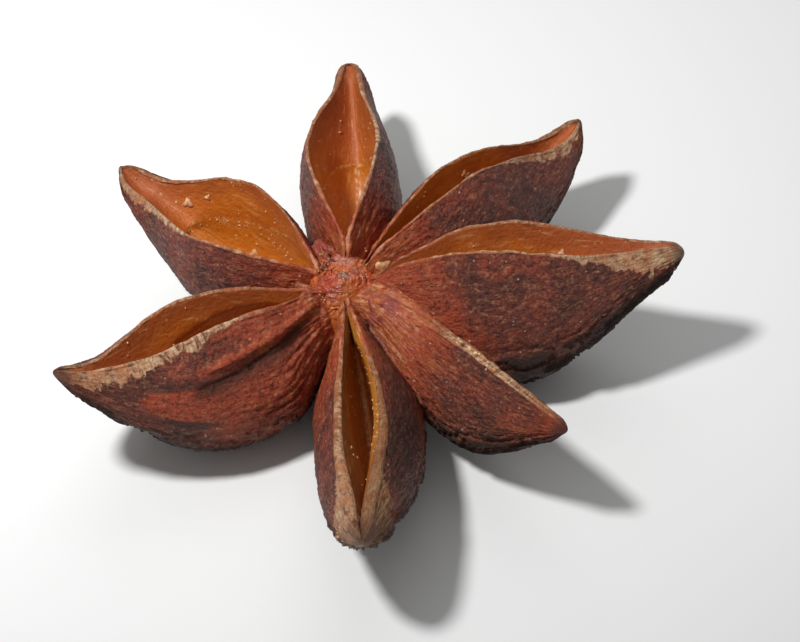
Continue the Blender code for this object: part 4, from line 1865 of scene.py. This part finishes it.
@dataclass(frozen=True)
class Crumbs:
    """The grains of dry pith that lie in the carpels and on the hub, in millimetres."""

    size: float = 0.075
    inside_density: float = 0.9
    hub_density: float = 1.2
    roughness: float = 0.6
    rim_height: float = 7.0
    fall: tuple = (0.0, 0.67, -0.74)
    fall_length: float = 20.0
    trails: tuple = (
        lone_flake(1.9, 0.9, 0.50, 0.25),
        lone_flake(-9.5, 6.1, 0.30, 0.4),
        lone_flake(-8.3, 6.5, 0.18, 0.5),
        Trail((6.4, 8.4), (6.7, 8.1), 2, 0.20, 0.0, 0.5, True),
        lone_flake(11.8, 2.0, 0.20, 0.5),
        lone_flake(-5.7, 2.15, 0.30, 0.2),
        Trail((1.0, -5.9), (1.5, -12.2), 46, 0.07, 0.22),
        Trail((-8.4, 5.0), (-5.8, 4.3), 12, 0.06, 0.10),
        Trail((-5.2, 3.9), (-3.4, 1.6), 15, 0.075, 0.12),
        Trail((-1.1, 6.4), (-0.7, 7.6), 8, 0.08, 0.15),
        Trail((-0.8, 11.8), (-0.8, 13.6), 2, 0.10, 0.05),
        Trail((5.9, -4.2), (7.9, -6.8), 16, 0.11, 0.14),
        Trail((-1.7, -0.9), (-1.2, -2.2), 14, 0.05, 0.20, 0.4),
        Trail((-0.5, -0.1), (-0.4, -0.1), 2, 0.08, 0.03),
        Trail((0.9, 2.5), (0.9, 2.3), 2, 0.10, 0.05),
        Trail((-1.8, 0.8), (-1.0, 1.5), 7, 0.06, 0.18, 0.4),
        Trail((0.5, 0.2), (1.1, 0.3), 5, 0.06, 0.10),
    )

    SWARM = Noise(500.0, 2.0, 2.0)
    SWARM_RANGE = (0.42, 0.62)
    MOST_TURN = (6.28, 6.28, 6.28)
    LEAST_SCALE = (0.3, 0.3, 0.2)
    MOST_SCALE = (1.5, 1.0, 0.7)
    BUMP_SCALE = 9000.0
    SCATTER_SEED = 5
    TRAIL_SEED = 29
    STRETCH = (0.6, 1.3)
    SIZES = (0.5, 1.2)
    CORNERS = 3.0
    CORNER_REACH = 0.35

    def scatter(self) -> bpy.types.NodeTree:
        """Builds the tree that strews grains over a surface, on carpels only over the lining.

        Returns:
            The tree, with its density for each square metre, the grains' size and the rest as
            its named inputs.
        """
        inputs = {"Geometry": GEOMETRY, "Density": FLOAT, "Bare": FLOAT, "Size": FLOAT,
                  "Uneven": FLOAT, "Seed": "NodeSocketInt", "Material": MATERIAL}
        graph, entry = new_group("crumb_scatter", "GeometryNodeTree", inputs,
                                 ("Geometry", GEOMETRY))
        seed, place = entry["Seed"], graph.position()
        inside = graph.named("zone").parts()[0].most(entry["Bare"])
        here = inside * place.noise(self.SWARM).ramp(*self.SWARM_RANGE)
        ground = {"Mesh": entry["Geometry"], "Density": here * entry["Density"], "Seed": seed}
        spots = graph.add("GeometryNodeDistributePointsOnFaces", ground, "Points")
        ball = {"Radius": entry["Size"], "Subdivisions": 2}
        grain = graph.add("GeometryNodeMeshIcoSphere", ball)
        turn = graph.add("FunctionNodeRandomValue", {1: self.MOST_TURN, "Seed": seed},
                         data_type="FLOAT_VECTOR")
        size = graph.add("FunctionNodeRandomValue",
                         {0: self.LEAST_SCALE, 1: self.MOST_SCALE, "Seed": seed},
                         data_type="FLOAT_VECTOR")
        strewn = graph.add("GeometryNodeInstanceOnPoints",
                           {"Points": spots, "Instance": grain, "Rotation": turn, "Scale": size})
        real = graph.add("GeometryNodeRealizeInstances", {"Geometry": strewn})
        rough = {"Vector": place, "Scale": self.BUMP_SCALE, "Detail": 1.0}
        bump = graph.add("ShaderNodeTexNoise", rough, "Color")
        bump = graph.vector("SUBTRACT", {0: bump, 1: (0.5, 0.5, 0.5)})
        push = graph.vector("SCALE", {0: bump, "Scale": entry["Size"] * entry["Uneven"]})
        return graph.give_dressed(graph.move(real, Offset=push), entry["Material"])

    def drop(self, x: float, y: float, ground: list) -> tuple | None:
        """Finds where a grain that falls from a place comes to lie.

        Args:
            x: How far right of the hub's axis it falls from, at the height of the rims.
            y: How far behind the hub's axis it falls from.
            ground: The pieces that it may land on.

        Returns:
            The place and the surface's normal there, or None where it misses them all.
        """
        fall = Vector(self.fall).normalized()
        rim = Vector((AXIS_OFFSET[0] + x, AXIS_OFFSET[1] + y, self.rim_height)) * MM
        start = rim - self.fall_length * MM * fall
        landings = []
        for piece in ground:
            landed, place, normal, _ = piece.ray_cast(start, fall)
            if landed:
                landings.append(((place - start).length, place, normal))
        return min(landings, key=lambda landing: landing[0])[1:] if landings else None

    def lay(self, merged: bmesh.types.BMesh, ground: list) -> None:
        """Lays the trails' grains.

        Args:
            merged: The mesh that they are added to.
            ground: The pieces that they lie on.
        """
        random = np.random.default_rng(self.TRAIL_SEED)
        for trail in self.trails:
            for share in (np.arange(trail.count) + 0.5) / trail.count:
                off = random.normal(0.0, 1.0, 2) * trail.spread
                x, y = (a + (b - a) * share + c for a, b, c in zip(trail.start, trail.end, off))
                landing = self.drop(x, y, ground)
                stretch = (*random.uniform(*self.STRETCH, 2), trail.thin)
                turn = Matrix.Rotation(random.uniform(0.0, 2.0 * math.pi), 4, "Z")
                if landing is None:
                    continue
                place, normal = landing
                size = trail.size * MM * (1.0 if trail.flake else random.uniform(*self.SIZES))
                upright = normal.to_track_quat("Z", "Y").to_matrix().to_4x4()
                settle = Matrix.Translation(place) @ upright @ turn
                ball = bmesh.ops.create_icosphere(merged, subdivisions=2, radius=1.0)
                for corner in ball["verts"]:
                    point = corner.co
                    if trail.flake:
                        around = self.CORNERS * math.atan2(point.y, point.x)
                        reach = 1.0 + self.CORNER_REACH * math.cos(around)
                        stretch = (reach, reach, reach * trail.thin)
                    grown = Vector([part * scale for part, scale in zip(point, stretch)])
                    corner.co = settle @ (size * grown)

    def build(self, shells: list, hub: bpy.types.Object,
              crumb: bpy.types.Material) -> bpy.types.Object:
        """Builds the finished piece.

        Args:
            shells: The finished carpels.
            hub: The finished hub.
            crumb: The material.

        Returns:
            The piece, with all the grains.
        """
        tree = self.scatter()
        merged = bmesh.new()
        for number, ground in enumerate([*shells, hub]):
            bare = ground is hub
            density = self.hub_density if bare else self.inside_density
            values = {"Density": density / MM**2, "Bare": float(bare), "Size": self.size * MM,
                      "Uneven": self.roughness, "Seed": self.SCATTER_SEED + number,
                      "Material": crumb}
            strewn = grow("strewn", ground.data.copy(), tree, values)
            merged.from_mesh(strewn.data)
            bpy.data.objects.remove(strewn)
        self.lay(merged, [*shells, hub])
        mesh = bpy.data.meshes.new("crumbs")
        merged.to_mesh(mesh)
        merged.free()
        mesh.materials.append(crumb)
        mesh.shade_smooth()
        return new_piece("crumbs", mesh)


@dataclass(frozen=True)
class Studio:
    """The floor, the light and the camera, in millimetres and degrees."""

    floor_half: float = 400.0
    camera_distance: float = 110.0
    camera_elevation: float = 48.0
    camera_shift: tuple = (2.8, -0.4)
    aim_height: float = 4.0
    lens: float = 88.11
    sensor: float = 36.0
    clip_start: float = 1.0
    key_place: tuple = (-43.2, -19.0, 100.9)
    key_radius: float = 7.0
    key_aim: tuple = (0.0, 58.0, 0.0)
    key_spread: float = 120.0
    key_power: float = 0.455
    fill_place: tuple = (10.0, 110.0, 120.0)
    fill_aim: tuple = (0.0, 15.0, 0.0)
    fill_size: float = 140.0
    fill_power: float = 0.05
    sky: float = 0.225

    def build(self) -> None:
        """Builds the floor, the key light, the soft surrounding light and the camera."""
        self.build_floor()
        self.build_light()
        self.build_camera()
        bpy.context.scene.view_settings.view_transform = "Standard"

    def build_floor(self) -> None:
        """Lays the floor just under the pod."""
        half = self.floor_half * MM
        mesh = bpy.data.meshes.new("floor")
        corners = [(-half, -half, 0.0), (half, -half, 0.0), (half, half, 0.0), (-half, half, 0.0)]
        mesh.from_pydata(corners, [], [(0, 1, 2, 3)])
        mesh.materials.append(FloorFinish().build())
        floor = new_piece("floor", mesh)

    def build_light(self) -> None:
        """Hangs a small lamp to the upper left, with an even white sky for the fill."""
        key = bpy.data.lights.new("key", "SPOT")
        key.energy = self.key_power
        key.shadow_soft_size = self.key_radius * MM
        key.spot_size = math.radians(self.key_spread)
        key.spot_blend = 1.0
        self.hang(key, self.key_place, self.key_aim)
        fill = bpy.data.lights.new("fill", "AREA")
        fill.shape = "SQUARE"
        fill.size = self.fill_size * MM
        fill.energy = self.fill_power
        self.hang(fill, self.fill_place, self.fill_aim)
        world = bpy.data.worlds.new("sky")
        world.use_nodes = True
        backdrop = world.node_tree.nodes["Background"].inputs
        backdrop["Color"].default_value = (1.0, 1.0, 1.0, 1.0)
        backdrop["Strength"].default_value = self.sky
        bpy.context.scene.world = world

    @staticmethod
    def hang(light: bpy.types.Light, place: tuple, aim: tuple) -> None:
        """Hangs a light at a place and turns it towards another.

        Args:
            light: The light.
            place: Where it hangs, in millimetres.
            aim: What it is aimed at, in millimetres.
        """
        lamp = bpy.data.objects.new(light.name, light)
        lamp.location = tuple(part * MM for part in place)
        lamp.rotation_euler = (Vector(aim) - Vector(place)).to_track_quat("-Z", "Y").to_euler()
        bpy.context.scene.collection.objects.link(lamp)

    def build_camera(self) -> None:
        """Stands the camera south of the pod, looking down at the hub."""
        lens = bpy.data.cameras.new("camera")
        lens.lens = self.lens
        lens.sensor_width = self.sensor
        lens.clip_start = self.clip_start * MM
        tilt = math.radians(self.camera_elevation)
        back, up = self.camera_distance * math.cos(tilt), self.camera_distance * math.sin(tilt)
        camera = bpy.data.objects.new("camera", lens)
        camera.location = ((AXIS_OFFSET[0] + self.camera_shift[0]) * MM,
                           (AXIS_OFFSET[1] + self.camera_shift[1] - back) * MM,
                           (self.aim_height + up) * MM)
        camera.rotation_euler = (0.5 * math.pi - tilt, 0.0, 0.0)
        bpy.context.scene.collection.objects.link(camera)
        bpy.context.scene.camera = camera


def main() -> None:
    """Builds the studio, then the pod's pieces in order."""
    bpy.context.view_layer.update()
    Studio().build()
    effects = Effects()
    husk = HuskFinish().build(effects)
    sizes = Relief()
    relief = sizes.build()
    shells = [CarpelShell(carpel, 11 * number + 3).build(relief, sizes, husk)
              for number, carpel in enumerate(CARPELS)]
    hub = Hub().build(HeartFinish().build(effects))
    crumbs = Crumbs().build(shells, hub, CrumbFinish().build(effects))
    for piece in (*shells, hub, crumbs):
        report(piece)


if __name__ == "__main__":
    logging.basicConfig(level=logging.INFO, format="%(message)s")
    main()
